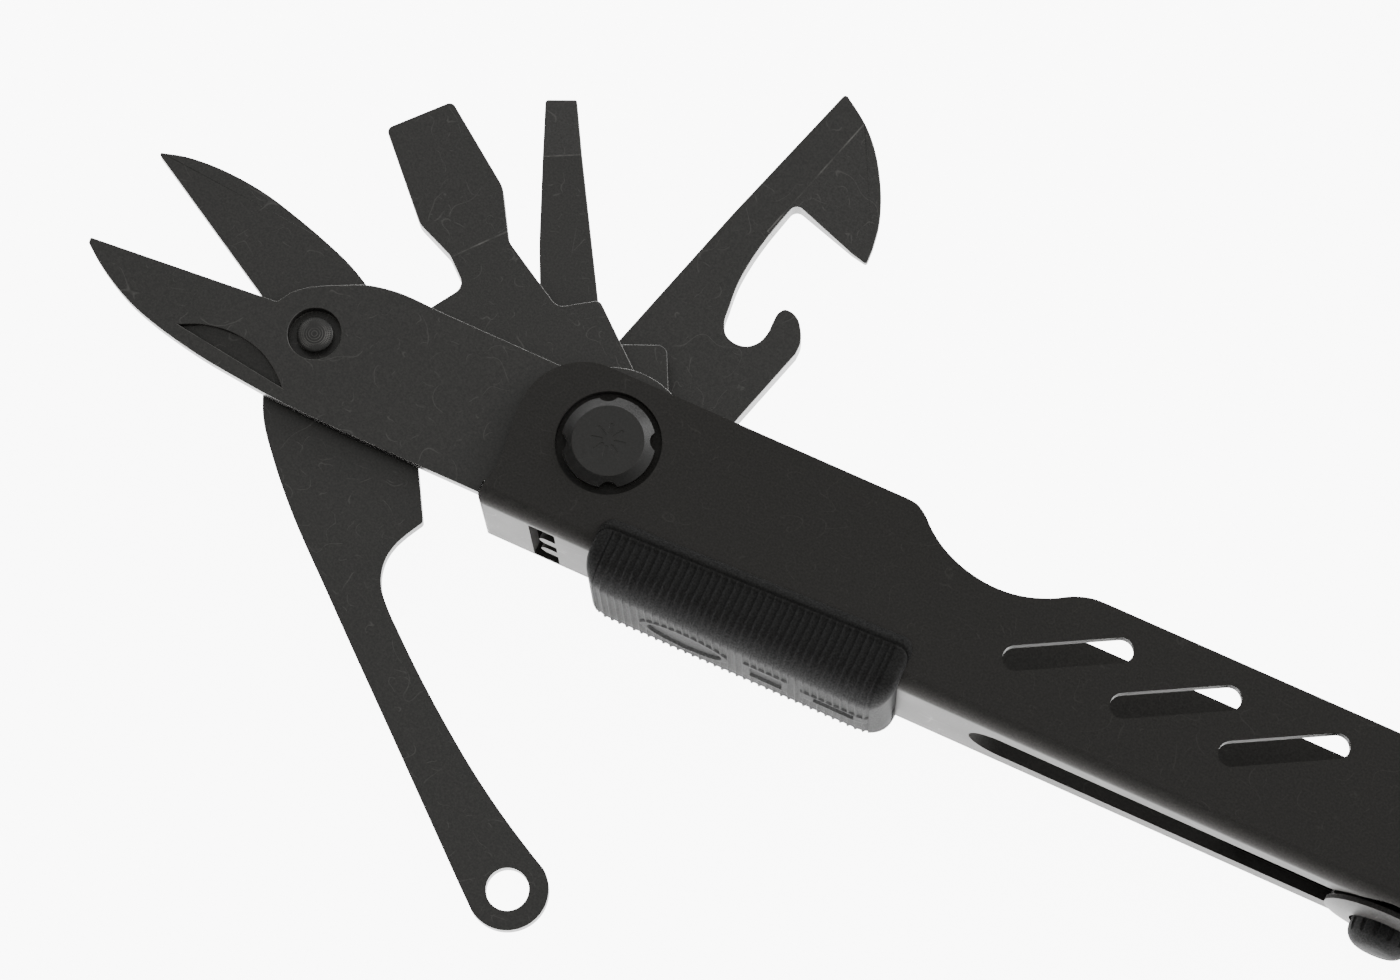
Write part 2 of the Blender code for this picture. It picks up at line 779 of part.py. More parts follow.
def button_spring_mesh():
    """A short coil between the stem and the jaw's tang."""
    turns, steps, sides = 2.5, 12, 6
    coil_radius, wire = 1.5, 0.25
    low, high = 7.45, 9.35
    count = int(turns * steps)
    form = bmesh.new()
    rings = []
    for i in range(count + 1):
        around = 2 * math.pi * i / steps
        height = low + (high - low) * i / count
        out = Vector((math.cos(around), 0, math.sin(around)))
        centre = Vector((BUTTON_X, -height, 0)) + out * coil_radius
        ring = []
        for j in range(sides):
            spoke = 2 * math.pi * j / sides
            ring.append(
                form.verts.new(
                    centre + (out * math.cos(spoke) + Vector((0, math.sin(spoke), 0))) * wire
                )
            )
        rings.append(ring)
    for lower, upper in zip(rings, rings[1:]):
        for j in range(sides):
            k = (j + 1) % sides
            form.faces.new((lower[j], lower[k], upper[k], upper[j]))
    form.faces.new(rings[0])
    form.faces.new(rings[-1])
    return finished(form, "spring")


def jaw_pin_mesh():
    edge = JAW_HALF - 0.1
    radius = JAW_PIN_RADIUS
    return turned([(radius - 0.2, -edge), (radius, 0.2 - edge), (radius, edge - 0.2), (radius - 0.2, edge)])


# Assembly


def build_handle(side, handle, layers):
    node(f"handle_{side}", handle_mesh(), "black_sheet", handle)
    node(f"pivot_bolt_{side}", bolt_mesh(), "black_head", handle)
    node(f"pivot_nut_{side}", nut_mesh(), "black_head", handle)
    node(f"pivot_spacer_{side}", spacer_mesh(*layers["pivot_spacer"]), "black_tool", handle)
    node(f"slide_lock_{side}", slide_lock_mesh(), "black_moulded", handle)
    node(f"lock_tongue_{side}", lock_tongue_mesh(), "black_tool", handle)
    node(f"carriage_{side}", carriage_mesh(), "black_jaw", handle)
    node(f"latch_button_{side}", button_mesh(), "black_moulded", handle)
    node(f"latch_spring_{side}", button_spring_mesh(), "spring_steel", handle)


def build_tools_a(handle):
    makers = {
        "scissors_fixed_blade": scissors_fixed_mesh,
        "large_flat_driver": large_driver_mesh,
        "small_flat_driver": lambda layer: narrow_driver_mesh(layer, 2.7, 6.5, 7.7),
        "can_opener": can_opener_mesh,
    }
    made = {}
    for name, make in makers.items():
        mesh = make(LAYERS_A[name])
        made[name] = node(name, mesh, "black_tool", handle, angle=REST_ANGLES[name])
    plate = made["scissors_fixed_blade"]
    lever = scissors_lever_mesh(LAYERS_A["scissors_lever_blade"])
    node("scissors_lever_blade", lever, "black_tool", plate, (*RIVET, 0), LEVER_REST)
    node("scissors_rivet", rivet_mesh(), "black_head", plate, (*RIVET, 0))


def build_tools_b(handle):
    makers = {
        "knife_blade": knife_mesh,
        "file": file_mesh,
        "cross_head_driver": cross_head_driver_mesh,
        "medium_flat_driver": lambda layer: narrow_driver_mesh(layer, 1.9, 7.4, 7.9),
        "lanyard_ring": lanyard_ring_mesh,
    }
    for name, make in makers.items():
        node(name, make(LAYERS_B[name]), "black_tool", handle)


def centre_on_base(root):
    """Moves the whole tool so that the middle of its base is at the origin."""
    bpy.context.view_layer.update()
    corners = [
        made.matrix_world @ vertex.co
        for made in bpy.data.objects
        if made.type == "MESH"
        for vertex in made.data.vertices
    ]
    low = [min(c[i] for c in corners) for i in range(3)]
    high = [max(c[i] for c in corners) for i in range(3)]
    root.location = (-(low[0] + high[0]) / 2, -(low[1] + high[1]) / 2, -low[2])
    bpy.context.view_layer.update()


def main():
    for old in list(bpy.data.objects):
        bpy.data.objects.remove(old)
    root = empty("tool_frame")
    handle_a = empty("handle_a_frame", root)
    jaw_frame_a = empty("jaw_a_frame", root, (*JAW_PIVOT, 0))
    jaw_frame_b = empty("jaw_b_frame", root, (*JAW_PIVOT, 0), (180, 0, -SPREAD))
    handle_b = empty("handle_b_frame", jaw_frame_b, (-JAW_PIVOT[0], -JAW_PIVOT[1], 0))
    build_handle("a", handle_a, LAYERS_A)
    build_handle("b", handle_b, LAYERS_B)
    build_tools_a(handle_a)
    build_tools_b(handle_b)
    node("jaw_a", jaw_mesh(), "black_jaw", jaw_frame_a)
    node("jaw_b", jaw_mesh(), "black_jaw", jaw_frame_b)
    node("jaw_pivot_pin", jaw_pin_mesh(), "black_head", jaw_frame_a)
    centre_on_base(root)


main()
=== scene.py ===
import json
import math

import bmesh
import bpy
from mathutils import Matrix, Vector


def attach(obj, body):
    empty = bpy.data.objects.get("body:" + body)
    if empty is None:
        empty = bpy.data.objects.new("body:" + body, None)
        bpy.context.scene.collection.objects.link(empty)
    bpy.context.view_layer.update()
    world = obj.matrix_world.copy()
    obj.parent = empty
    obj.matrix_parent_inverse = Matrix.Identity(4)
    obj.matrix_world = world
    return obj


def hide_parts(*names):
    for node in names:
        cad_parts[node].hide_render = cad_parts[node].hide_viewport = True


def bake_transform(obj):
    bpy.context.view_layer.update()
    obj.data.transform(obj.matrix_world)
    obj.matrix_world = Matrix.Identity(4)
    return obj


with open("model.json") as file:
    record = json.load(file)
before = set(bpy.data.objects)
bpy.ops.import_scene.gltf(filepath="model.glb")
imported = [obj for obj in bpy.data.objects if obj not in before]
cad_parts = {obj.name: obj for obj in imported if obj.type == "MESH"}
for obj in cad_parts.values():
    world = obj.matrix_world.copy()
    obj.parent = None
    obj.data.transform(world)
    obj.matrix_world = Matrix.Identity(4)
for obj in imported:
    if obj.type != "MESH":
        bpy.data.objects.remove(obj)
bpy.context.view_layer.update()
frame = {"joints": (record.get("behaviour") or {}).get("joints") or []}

# Visual model of the folding multi tool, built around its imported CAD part.
#
# Each handle has its own frame: the origin is on the tool pivot, +X runs to the plier end, +Y to
# the open side of the channel and z is 0 half-way between the cheeks. The jaws have a frame on
# their pivot. Outlines are in millimetres; finished() turns them into metres.

MM = 0.001
ARC_STEP = 5.0  # degrees of turn for each straight piece of an arc
CURVE_PIECES = 8  # straight pieces between two given points of a flowing curve
FIT = 0.1  # gap between faces that slide on each other

# Handle channel
CHANNEL_HALF = 8.8
CHEEK_INNER = 7.3
SPINE_OUTER = -12.25
SPINE_INNER = -10.75
SPINE_RADIUS = 2.0
FRONT_END = 115.2
TOOL_END = -11.3
OPEN_EDGE_REAR = 8.3
OPEN_EDGE_FRONT = 6.4
FAR_EDGE_FRONT = 5.1  # the far cheek is lower in front of the dip
FAR_EDGE_START = 50.0
WINDOW_FIRST = (58.15, -0.85)
WINDOW_PITCH = 13.3
WINDOW_COUNT = 3
WINDOW_TILT = 29.0
WINDOW_LENGTH = 15.0
WINDOW_WIDTH = 3.0
# Openings in the spine: rear, front and half width
SPINE_WINDOW = (-4.6, -1.3, 6.6)
TRACK = (51.2, 100.0, 4.0)
LOCK_SLOT = (8.5, 31.0, 2.4)
BUTTON_OPENING_RADIUS = 8.0
# Fingers of sheet in the spine window
FINGER_TIP = 0.36  # share of the window's length
FINGER_MIDDLE = 0.32  # shares of the window's half width
FINGER_HALF = 0.16

# Pivot bolt, nut and spacer
SHANK_RADIUS = 2.8
BORE_RADIUS = 2.9
HEAD_RADIUS = 5.45
HEAD_TOP_RADIUS = 4.2
HEAD_OUTER = 9.8
HEAD_SEAT = 8.4
RING_FLOOR = 7.7
DIMPLE_RADIUS = 6.2
NOTCH_ANGLE = 25.0
NOTCH_RADIUS = 1.3
NOTCH_REACH = 6.1  # from the bolt's middle to a notch's
PETAL_COUNT = 8
PETAL_TILT = 12.0
PETAL_REACH = 1.35
PETAL_DEPTH = 0.07
SPACER_RADIUS = 7.0
TANG_RADIUS = 9.6

# Plier head
JAW_HALF = 3.7
JAW_PIN_RADIUS = 2.5
BOSS_RADIUS = 7.6
BUTTON_X = 103.1
SPRING_ENDS = (7.45, 9.35)  # from the tool pivot to the end on the tang and the one on the stem
BUTTON_RADIUS = 3.75
BUTTON_UNDER = -12.7  # underside of the button's head
BUTTON_CLEARANCE = 0.3
STEM_RADIUS = 2.2
COLLAR_RADIUS = 7.3
POST_SPAN = (1.6, 6.8)  # the collar's posts, from the button's middle
POST_HALF = 3.5

# Scissors
RIVET = (37.1, 1.9)
RIVET_HEAD_RADIUS = 2.15
RIVET_SHANK_RADIUS = 1.7
RIVET_RECESS = 1.45
RIVET_DOME = 0.4
COUNTERBORE_RADIUS = 3.15
NICK_DEPTH = 0.9
LEVER_REST = 134.4
LEVER_LENGTH = 69.3
EYE_RADIUS = 4.7  # the finger eye at the lever's end
EYE_HOLE_RADIUS = 2.45

# Slide lock
LOCK_REAR, LOCK_FRONT = 3.4, 42.0
LOCK_OUTER = -16.0
LOCK_HALF = 9.7
LOCK_BORDER = 1.35  # width of the smooth strip above the ribs
RIBBED = (LOCK_REAR + 1.6, LOCK_FRONT - 1.9)
RIB_PITCH = 0.95
RIB_DEPTH = 0.22
# Smooth shapes among the ribs of the outer face: an oval and two bars, each with a flush rim
OVAL = (16.8, 4.7, 2.9)  # middle, half length and half width
OVAL_RIM = 1.45
OVAL_DEPTH = 0.32
BARS = ((27.2, 2.8, 2.6, 0.72), (35.8, 4.2, 1.3, 0.6))  # the same, and the share inside the rim
BAR_DEPTH = 0.3

# Edges of the pieces
CREASE_ANGLE = 22.0  # a sharper turn between two faces gets a bevel in the painted highlight coat
GROUND_ANGLE = 1.0  # the same for two nearly level faces, such as a blade's ground flats
LEVEL_NORMAL = 0.93
BEVEL = 0.09
UNCLAMPED = ("large_flat_driver", "can_opener")  # clamping would lose the painted highlight lines on their ground creases

# Camera, aimed at a point of the handle's frame
CAMERA_TARGET = (11.98, -0.72, 8.8)
CAMERA_AZIMUTH = -60.5
CAMERA_ELEVATION = 74.95
CAMERA_ROLL = -4.77
CAMERA_DISTANCE = 514.25
CAMERA_LENS = 115.05
CAMERA_SENSOR = 36.0

# Stage and light
FLOOR_RADIUS = 3.0
FLOOR_DROP = 0.0003
FLOOR_GLOW = 9.0
SKY_STRENGTH = 1.0
# Colour of the surround by height, on the camera's side and on the far side
SKY_NEAR = (
    (0.0, (0.05, 0.05, 0.05, 1)),
    (0.4, (0.05, 0.05, 0.05, 1)),
    (0.8, (0.40, 0.40, 0.39, 1)),
    (1.0, (0.95, 0.95, 0.92, 1)),
)
SKY_FAR = (
    (0.0, (1.4, 1.4, 1.4, 1)),
    (0.3, (1.1, 1.1, 1.1, 1)),
    (0.8, (1.1, 1.1, 1.07, 1)),
    (1.0, (0.95, 0.95, 0.92, 1)),
)
FAR_SIDE = (0.26, 0.95, 0.0)
SIDE_BLEND = (-0.35, 0.45)

# The soft box: azimuth and elevation in degrees, distance, size and power
SOFT_BOX_AZIMUTH = 48.0
SOFT_BOX_ELEVATION = 20.0
SOFT_BOX_DISTANCE = 1.2
SOFT_BOX_SIZE = (1.0, 0.35)
SOFT_BOX_POWER = 7.0

# Layers of each stack, from the near cheek down: low and high z
LAYERS_A = {
    "scissors_fixed_blade": (5.6, 7.2),
    "scissors_lever_blade": (3.9, 5.5),
    "large_flat_driver": (1.0, 3.8),
    "small_flat_driver": (-1.7, 0.9),
    "can_opener": (-4.7, -1.8),
    "pivot_spacer": (-7.2, -4.8),
}
LAYERS_B = {
    "knife_blade": (4.8, 7.2),
    "file": (2.5, 4.7),
    "cross_head_driver": (-2.0, 2.4),
    "medium_flat_driver": (-4.7, -2.1),
    "lanyard_ring": (-6.0, -4.8),
    "pivot_spacer": (-7.2, -6.1),
}

# Angle of each tool from its folded place in the channel
REST_ANGLES = {
    "scissors_fixed_blade": 180.0,
    "large_flat_driver": 140.0,
    "small_flat_driver": 117.0,
    "can_opener": 74.0,
}

# Points


def arc(centre, radius, start, end, step=ARC_STEP):
    """Points on a circle from one angle to another, both ends included."""
    count = max(1, math.ceil(abs(end - start) / step))
    angles = [math.radians(start + (end - start) * i / count) for i in range(count + 1)]
    return [(centre[0] + radius * math.cos(a), centre[1] + radius * math.sin(a)) for a in angles]


def polar(radius, degrees):
    """The point at an angle on a circle about the origin."""
    a = math.radians(degrees)
    return (radius * math.cos(a), radius * math.sin(a))


def circle(radius, centre=(0.0, 0.0), step=ARC_STEP):
    return arc(centre, radius, 0.0, 360.0, step)[:-1]


def rounded(corners, step=ARC_STEP):
    """A closed outline from its corners: (x, y) is sharp, and (x, y, radius) gets a tangent arc."""
    points = []
    for i, corner in enumerate(corners):
        here = Vector(corner[:2])
        radius = corner[2] if len(corner) > 2 else 0.0
        back = (Vector(corners[i - 1][:2]) - here).normalized()
        ahead = (Vector(corners[(i + 1) % len(corners)][:2]) - here).normalized()
        opening = back.angle(ahead)
        turn = math.pi - opening
        if radius == 0.0 or turn < 0.01:
            points.append(tuple(here))
            continue
        reach = radius / math.tan(opening / 2)
        centre = here + (back + ahead).normalized() * radius / math.sin(opening / 2)
        start = here + back * reach - centre
        side = 1.0 if back.x * ahead.y - back.y * ahead.x < 0 else -1.0
        count = max(1, math.ceil(math.degrees(turn) / step))
        for j in range(count + 1):
            spoke = Matrix.Rotation(side * turn * j / count, 2) @ start
            points.append(tuple(centre + spoke))
    return points


def flowing(points, pieces=CURVE_PIECES):
    """Points on a smooth curve through the given ones, both ends included."""
    spots = [Vector(p) for p in points]
    gaps = [(b - a).length for a, b in zip(spots, spots[1:])]
    ways = [(b - a).normalized() for a, b in zip(spots, spots[1:])]
    slopes = [ways[0]]
    for i in range(1, len(ways)):
        slopes.append((ways[i - 1] * gaps[i] + ways[i] * gaps[i - 1]) / (gaps[i - 1] + gaps[i]))
    slopes.append(ways[-1])
    curve = []
    for i, gap in enumerate(gaps):
        for j in range(pieces):
            t = j / pieces
            near = spots[i] * (1 + 2 * t) * (1 - t) ** 2 + slopes[i] * gap * t * (1 - t) ** 2
            far = spots[i + 1] * t * t * (3 - 2 * t) - slopes[i + 1] * gap * t * t * (1 - t)
            curve.append(tuple(near + far))
    return [*curve, tuple(spots[-1])]


def stadium(centre, length, width, tilt=0.0, step=ARC_STEP):
    """Outline of a round-ended slot, tilted by an angle."""
    half = length / 2 - width / 2
    points = arc((half, 0), width / 2, -90, 90, step) + arc((-half, 0), width / 2, 90, 270, step)
    turn = Matrix.Rotation(math.radians(tilt), 2)
    return [tuple(Vector(centre) + turn @ Vector(p)) for p in points]


# Meshes


AXES = {
    "X": Matrix(((0, 0, 1), (1, 0, 0), (0, 1, 0))),
    "Y": Matrix(((1, 0, 0), (0, 0, 1), (0, -1, 0))),
    "Z": Matrix.Identity(3),
}


def finished(form, name):
    bmesh.ops.recalc_face_normals(form, faces=form.faces)
    bmesh.ops.scale(form, vec=(MM, MM, MM), verts=form.verts)
    mesh = bpy.data.meshes.new(name)
    form.to_mesh(mesh)
    form.free()
    return mesh


def prism(points, low, high, along="Z"):
    """An outline drawn out from low to high. Along X its points are (y, z), and along Y (x, -z)."""
    form = bmesh.new()
    turn = AXES[along]
    rings = [[form.verts.new(turn @ Vector((x, y, end))) for x, y in points] for end in (low, high)]
    form.faces.new(rings[0])
    form.faces.new(rings[1])
    for i in range(len(points)):
        j = (i + 1) % len(points)
        form.faces.new((rings[0][i], rings[0][j], rings[1][j], rings[1][i]))
    return finished(form, "prism")


def turned(profile, sides=72, along="Z", centre=(0.0, 0.0, 0.0)):
    """A solid of revolution: (radius, height) from end to end, a radius of 0 being a tip."""
    form = bmesh.new()
    turn = AXES[along]
    rings = []
    for radius, height in profile:
        spokes = [2 * math.pi * i / sides for i in range(sides if radius else 1)]
        rings.append(
            [
                form.verts.new(
                    turn @ Vector((radius * math.cos(a), radius * math.sin(a), height))
                    + Vector(centre)
                )
                for a in spokes
            ]
        )
    for lower, upper in zip(rings, rings[1:]):
        for i in range(sides):
            j = (i + 1) % sides
            corners = [lower[i % len(lower)], lower[j % len(lower)]]
            corners += [upper[j % len(upper)], upper[i % len(upper)]]
            form.faces.new(list(dict.fromkeys(corners)))
    for ring in (rings[0], rings[-1]):
        if len(ring) > 1:
            form.faces.new(ring)
    return finished(form, "turned")


def combined(mesh, others, operation="DIFFERENCE"):
    """The mesh with each of the others cut away from it, joined to it or kept in common with it."""
    body = bpy.data.objects.new("body", mesh)
    bpy.context.scene.collection.objects.link(body)
    helpers = []
    for other in others:
        helper = bpy.data.objects.new("helper", other)
        bpy.context.scene.collection.objects.link(helper)
        modifier = body.modifiers.new("Boolean", "BOOLEAN")
        modifier.object = helper
        modifier.operation = operation
        helpers.append(helper)
    bpy.context.view_layer.update()
    graph = bpy.context.evaluated_depsgraph_get()
    result = bpy.data.meshes.new_from_object(body.evaluated_get(graph))
    for extra in [body, *helpers]:
        bpy.data.objects.remove(extra)
    return result


def ground_tip(mesh, start, tip, tip_half, middle):
    """Thins a driver blade evenly from full thickness at start to 2 x tip_half at tip."""
    form = bmesh.new()
    form.from_mesh(mesh)
    geometry = form.verts[:] + form.edges[:] + form.faces[:]
    bmesh.ops.bisect_plane(form, geom=geometry, plane_co=(start * MM, 0, 0), plane_no=(1, 0, 0))
    half = max(v.co.z for v in form.verts) - middle * MM
    for vertex in form.verts:
        along = (vertex.co.x / MM - start) / (tip - start)
        if along > 0:
            scale = 1 + (tip_half * MM / half - 1) * along
            vertex.co.z = middle * MM + (vertex.co.z - middle * MM) * scale
    form.to_mesh(mesh)
    form.free()
    return mesh


# Handle and what is fixed to it


def channel_outline():
    dip = [
        (60.0, OPEN_EDGE_FRONT),
        (58.2, 6.3),
        (56.0, 5.6),
        (54.1, 4.5),
        (52.0, 3.6),
        (49.9, 3.05),
        (47.5, 2.85),
        (44.8, 3.1),
        (42.2, 3.8),
        (40.0, 4.8),
        (38.1, 6.1),
        (36.5, 7.5),
        (35.3, 8.15),
        (34.0, OPEN_EDGE_REAR),
    ]
    front = [
        (TOOL_END, SPINE_OUTER, 0.8),
        (FRONT_END, SPINE_OUTER, 0.8),
        (FRONT_END, OPEN_EDGE_FRONT, 1.5),
    ]
    rear = [(TOOL_END, OPEN_EDGE_REAR, 7.7), (TOOL_END, -1.0, 3.0), (TOOL_END + 0.8, -7.0, 3.0)]
    return rounded(front + flowing(dip) + rear)


def channel_section():
    """The folded sheet's section, as (y, z)."""
    above = OPEN_EDGE_REAR + 10
    bend = SPINE_RADIUS - (CHANNEL_HALF - CHEEK_INNER)
    return rounded(
        [
            (above, CHANNEL_HALF),
            (SPINE_OUTER, CHANNEL_HALF, SPINE_RADIUS),
            (SPINE_OUTER, -CHANNEL_HALF, SPINE_RADIUS),
            (above, -CHANNEL_HALF),
            (above, -CHEEK_INNER),
            (SPINE_INNER, -CHEEK_INNER, bend),
            (SPINE_INNER, CHEEK_INNER, bend),
            (above, CHEEK_INNER),
        ],
    )


def fingered_window():
    """The spine window with two round-ended fingers of sheet left in it."""
    rear, front, half = SPINE_WINDOW
    tip = rear + FINGER_TIP * (front - rear)
    finger_half = FINGER_HALF * half
    round_end = 0.97 * finger_half
    outline = [(rear, half, 0.3), (rear, -half, 0.3), (front, -half, 0.3)]
    for middle in (-FINGER_MIDDLE * half, FINGER_MIDDLE * half):
        near, far = middle - finger_half, middle + finger_half
        outline += [(front, near), (tip, near, round_end), (tip, far, round_end), (front, far)]
    return rounded([*outline, (front, half, 0.3)])


def handle_mesh():
    through = CHANNEL_HALF + 5
    sheet = combined(
        prism(channel_section(), TOOL_END - 5, FRONT_END + 5, "X"),
        [prism(channel_outline(), -through, through)],
        "INTERSECT",
    )
    below, above = SPINE_OUTER - 3, SPINE_INNER + 2
    over_far_edge = [
        (FAR_EDGE_START, FAR_EDGE_FRONT),
        (FRONT_END + 5, FAR_EDGE_FRONT),
        (FRONT_END + 5, 20.0),
        (FAR_EDGE_START, 20.0),
    ]
    cutters = [prism(circle(BORE_RADIUS), -through, through), prism(over_far_edge, -through, 0.0)]
    for side in (-1, 1):
        seat, beyond = sorted((side * HEAD_SEAT, side * through))
        cutters.append(prism(circle(DIMPLE_RADIUS), seat, beyond))
        floor, top = sorted((side * RING_FLOOR, side * through))
        cutters.append(prism(circle(DIMPLE_RADIUS - 0.02), floor, top))
    for i in range(WINDOW_COUNT):
        centre = (WINDOW_FIRST[0] + i * WINDOW_PITCH, WINDOW_FIRST[1])
        slot = stadium(centre, WINDOW_LENGTH, WINDOW_WIDTH, WINDOW_TILT)
        cutters.append(prism(slot, -through, through))
    rear, front, half = LOCK_SLOT
    opening = [(rear, -half), (front, -half), (front, half), (rear, half)]
    cutters += [prism(opening, below, above, "Y"), prism(fingered_window(), below, above, "Y")]
    rear, front, half = TRACK
    track = stadium(((rear + front) / 2, 0), front - rear, 2 * half)
    cutters.append(prism(track, below, above, "Y"))
    opening = circle(BUTTON_OPENING_RADIUS, (BUTTON_X, 0))
    cutters.append(prism(opening, below, above, "Y"))
    return combined(sheet, cutters)


def bolt_head_profile(seat, outer):
    rim = seat + 0.45 * (outer - seat)
    return [(HEAD_RADIUS, seat), (HEAD_RADIUS, rim), (HEAD_TOP_RADIUS, outer)]


def head_notches(seat, outer):
    low, high = sorted((seat - math.copysign(1, outer), outer + math.copysign(1, outer)))
    spots = [polar(NOTCH_REACH, NOTCH_ANGLE + 90 * i) for i in range(4)]
    return [prism(circle(NOTCH_RADIUS, spot, 12.0), low, high) for spot in spots]


def bolt_mesh():
    seat = HEAD_SEAT + FIT
    shank = [(SHANK_RADIUS, 0.5 - HEAD_OUTER), (SHANK_RADIUS, seat)]
    cutters = head_notches(seat, HEAD_OUTER)
    for i in range(PETAL_COUNT):
        angle = PETAL_TILT + 360 / PETAL_COUNT * i
        petal = stadium(polar(PETAL_REACH, angle), 1.5, 0.45, angle)
        cutters.append(prism(petal, HEAD_OUTER - PETAL_DEPTH, HEAD_OUTER + 1))
    return combined(turned(shank + bolt_head_profile(seat, HEAD_OUTER)), cutters)


def nut_mesh():
    seat = -HEAD_SEAT - FIT
    outside = list(reversed(bolt_head_profile(seat, -HEAD_OUTER)))
    pocket = [(BORE_RADIUS, seat), (BORE_RADIUS, 0.4 - HEAD_OUTER)]
    return combined(turned(outside + pocket), head_notches(seat, -HEAD_OUTER))


def spacer_mesh(low, high):
    bore = prism(circle(BORE_RADIUS), low - 1, high + 1)
    return combined(prism(circle(SPACER_RADIUS), low, high), [bore])


# Tools


def tool_mesh(outline, layer, holes=()):
    """A flat tool: its outline between the layer's faces, bored for the pivot bolt."""
    low, high = layer
    bores = [circle(BORE_RADIUS), *holes]
    return combined(
        prism(outline, low, high), [prism(bore, low - 1, high + 1) for bore in bores]
    )


def tang(lower_y):
    """The round end about the pivot, from its top round the back to the tool's lower edge."""
    return arc((0, 0), TANG_RADIUS, 90, 360 + math.degrees(math.asin(lower_y / TANG_RADIUS)))


def scissors_fixed_mesh(layer):
    """The blade, with a counterbore for the rivet and a scoop whose floor rises from its edge."""
    belly = [
        (24.0, -6.6),
        (31.3, -6.6),
        (34.1, -6.0),
        (36.7, -4.8),
        (38.9, -3.7),
        (41.0, -2.3),
        (41.9, -1.4),
    ]
    cutting = [(42.8, 0.2, 0.5), (66.3, 2.2, 0.2)]
    back = [
        (66.2, 2.9),
        (64.9, 3.9),
        (61.7, 5.9),
        (58.3, 7.5),
        (54.7, 8.6),
        (51.0, 9.4),
        (47.4, 10.0),
        (43.7, 10.4),
        (38.0, 10.9),
        (28.0, 11.2),
    ]
    stop_corner = [(11.45, 11.2), (11.45, TANG_RADIUS)]
    outline = rounded(flowing(belly) + cutting + flowing(back) + stop_corner + tang(-6.5))
    top = layer[1]
    blade = tool_mesh(outline, layer, [circle(RIVET_SHANK_RADIUS + FIT, RIVET)])
    counterbore = prism(circle(COUNTERBORE_RADIUS, RIVET), top - RIVET_RECESS, top + 1)
    crescent = [
        (37.6, 9.4),
        (39.6, 7.7),
        (41.8, 6.5),
        (44.1, 5.9),
        (46.5, 5.8),
        (49.1, 6.2),
        (52.2, 7.5),
    ]
    nick = prism(flowing(crescent), top - NICK_DEPTH, top + 1)
    straight_end, across, rise = crescent[-1], (0.13, 0.99), 0.24
    for vertex in nick.vertices:
        if vertex.co.z < top * MM:
            from_edge = (straight_end[1] - vertex.co.y / MM) * across[1]
            from_edge -= (vertex.co.x / MM - straight_end[0]) * across[0]
            vertex.co.z += rise * MM * max(0.0, from_edge)
    return combined(blade, [counterbore, nick])


def scissors_lever_mesh(layer):
    """Own frame: the rivet at the origin and the finger eye along +X."""
    cutting = [(-28.0, -10.4, 0.3), (-6.5, -4.2, 3.0)]
    arm_below = [
        (3.0, -7.5),
        (7.0, -8.8),
        (12.7, -9.3),
        (18.0, -9.3),
        (30.0, -8.35),
        (50.0, -6.5),
        (66.5, -5.0),
    ]
    eye = arc((LEVER_LENGTH, 0), EYE_RADIUS, -80, 100)
    arm_above = [
        (66.7, 4.0),
        (62.3, 2.6),
        (55.4, 0.8),
        (48.7, -0.5),
        (42.2, -1.5),
        (37.0, -2.1),
        (33.5, -2.4),
        (31.3, -2.35),
        (29.5, -1.75),
        (27.9, -0.6),
        (26.8, 0.9),
        (26.1, 2.5),
    ]
    blade_back = [
        (16.0, 7.0),
        (6.0, 8.3),
        (-1.5, 8.2),
        (-6.6, 6.8),
        (-11.2, 4.6),
        (-15.1, 2.4),
        (-18.9, 0.0),
        (-22.0, -2.5),
        (-24.8, -5.3),
        (-26.6, -7.6),
        (-28.0, -10.1),
    ]
    corner = [(25.4, 4.7, 0.5)]
    arm = flowing(arm_below) + eye + flowing(arm_above)
    outline = rounded(cutting + arm + corner + flowing(blade_back))
    low, high = layer
    bores = [circle(RIVET_SHANK_RADIUS + FIT), circle(EYE_HOLE_RADIUS, (LEVER_LENGTH, 0))]
    return combined(
        prism(outline, low, high), [prism(bore, low - 1, high + 1) for bore in bores]
    )


def rivet_mesh():
    top = LAYERS_A["scissors_fixed_blade"][1]
    seat = top - 0.6
    bottom = LAYERS_A["scissors_lever_blade"][0]
    profile = [
        (RIVET_SHANK_RADIUS, bottom),
        (RIVET_SHANK_RADIUS, seat),
        (RIVET_HEAD_RADIUS, seat),
        (RIVET_HEAD_RADIUS, top - RIVET_DOME),
    ]
    for i in range(1, 10):
        a = math.radians(9 * i)
        height = top - RIVET_DOME + RIVET_DOME * math.sin(a)
        profile.append((RIVET_HEAD_RADIUS * math.cos(a), height))
    profile += [(0.0, top)]
    return turned(profile, 48)


def large_driver_mesh(layer):
    outline = [
        (17.6, -6.8, 0.8),
        (19.0, -1.9, 1.5),
        (28.8, -0.15, 2.5),
        (35.4, -2.35, 3.5),
        (48.0, -1.4, 0.8),
        (48.3, 7.1, 0.8),
        (35.4, 8.45, 2.5),
        (30.3, 6.85, 2.0),
        (26.0, 6.9, 1.5),
        (25.2, 12.5, 1.2),
        (16.0, 12.3, 4.0),
        (12.0, TANG_RADIUS, 3.0),
    ]
    mesh = tool_mesh(rounded(outline + tang(-6.8)), layer)
    return ground_tip(mesh, 30.0, 48.0, 0.5, sum(layer) / 2)


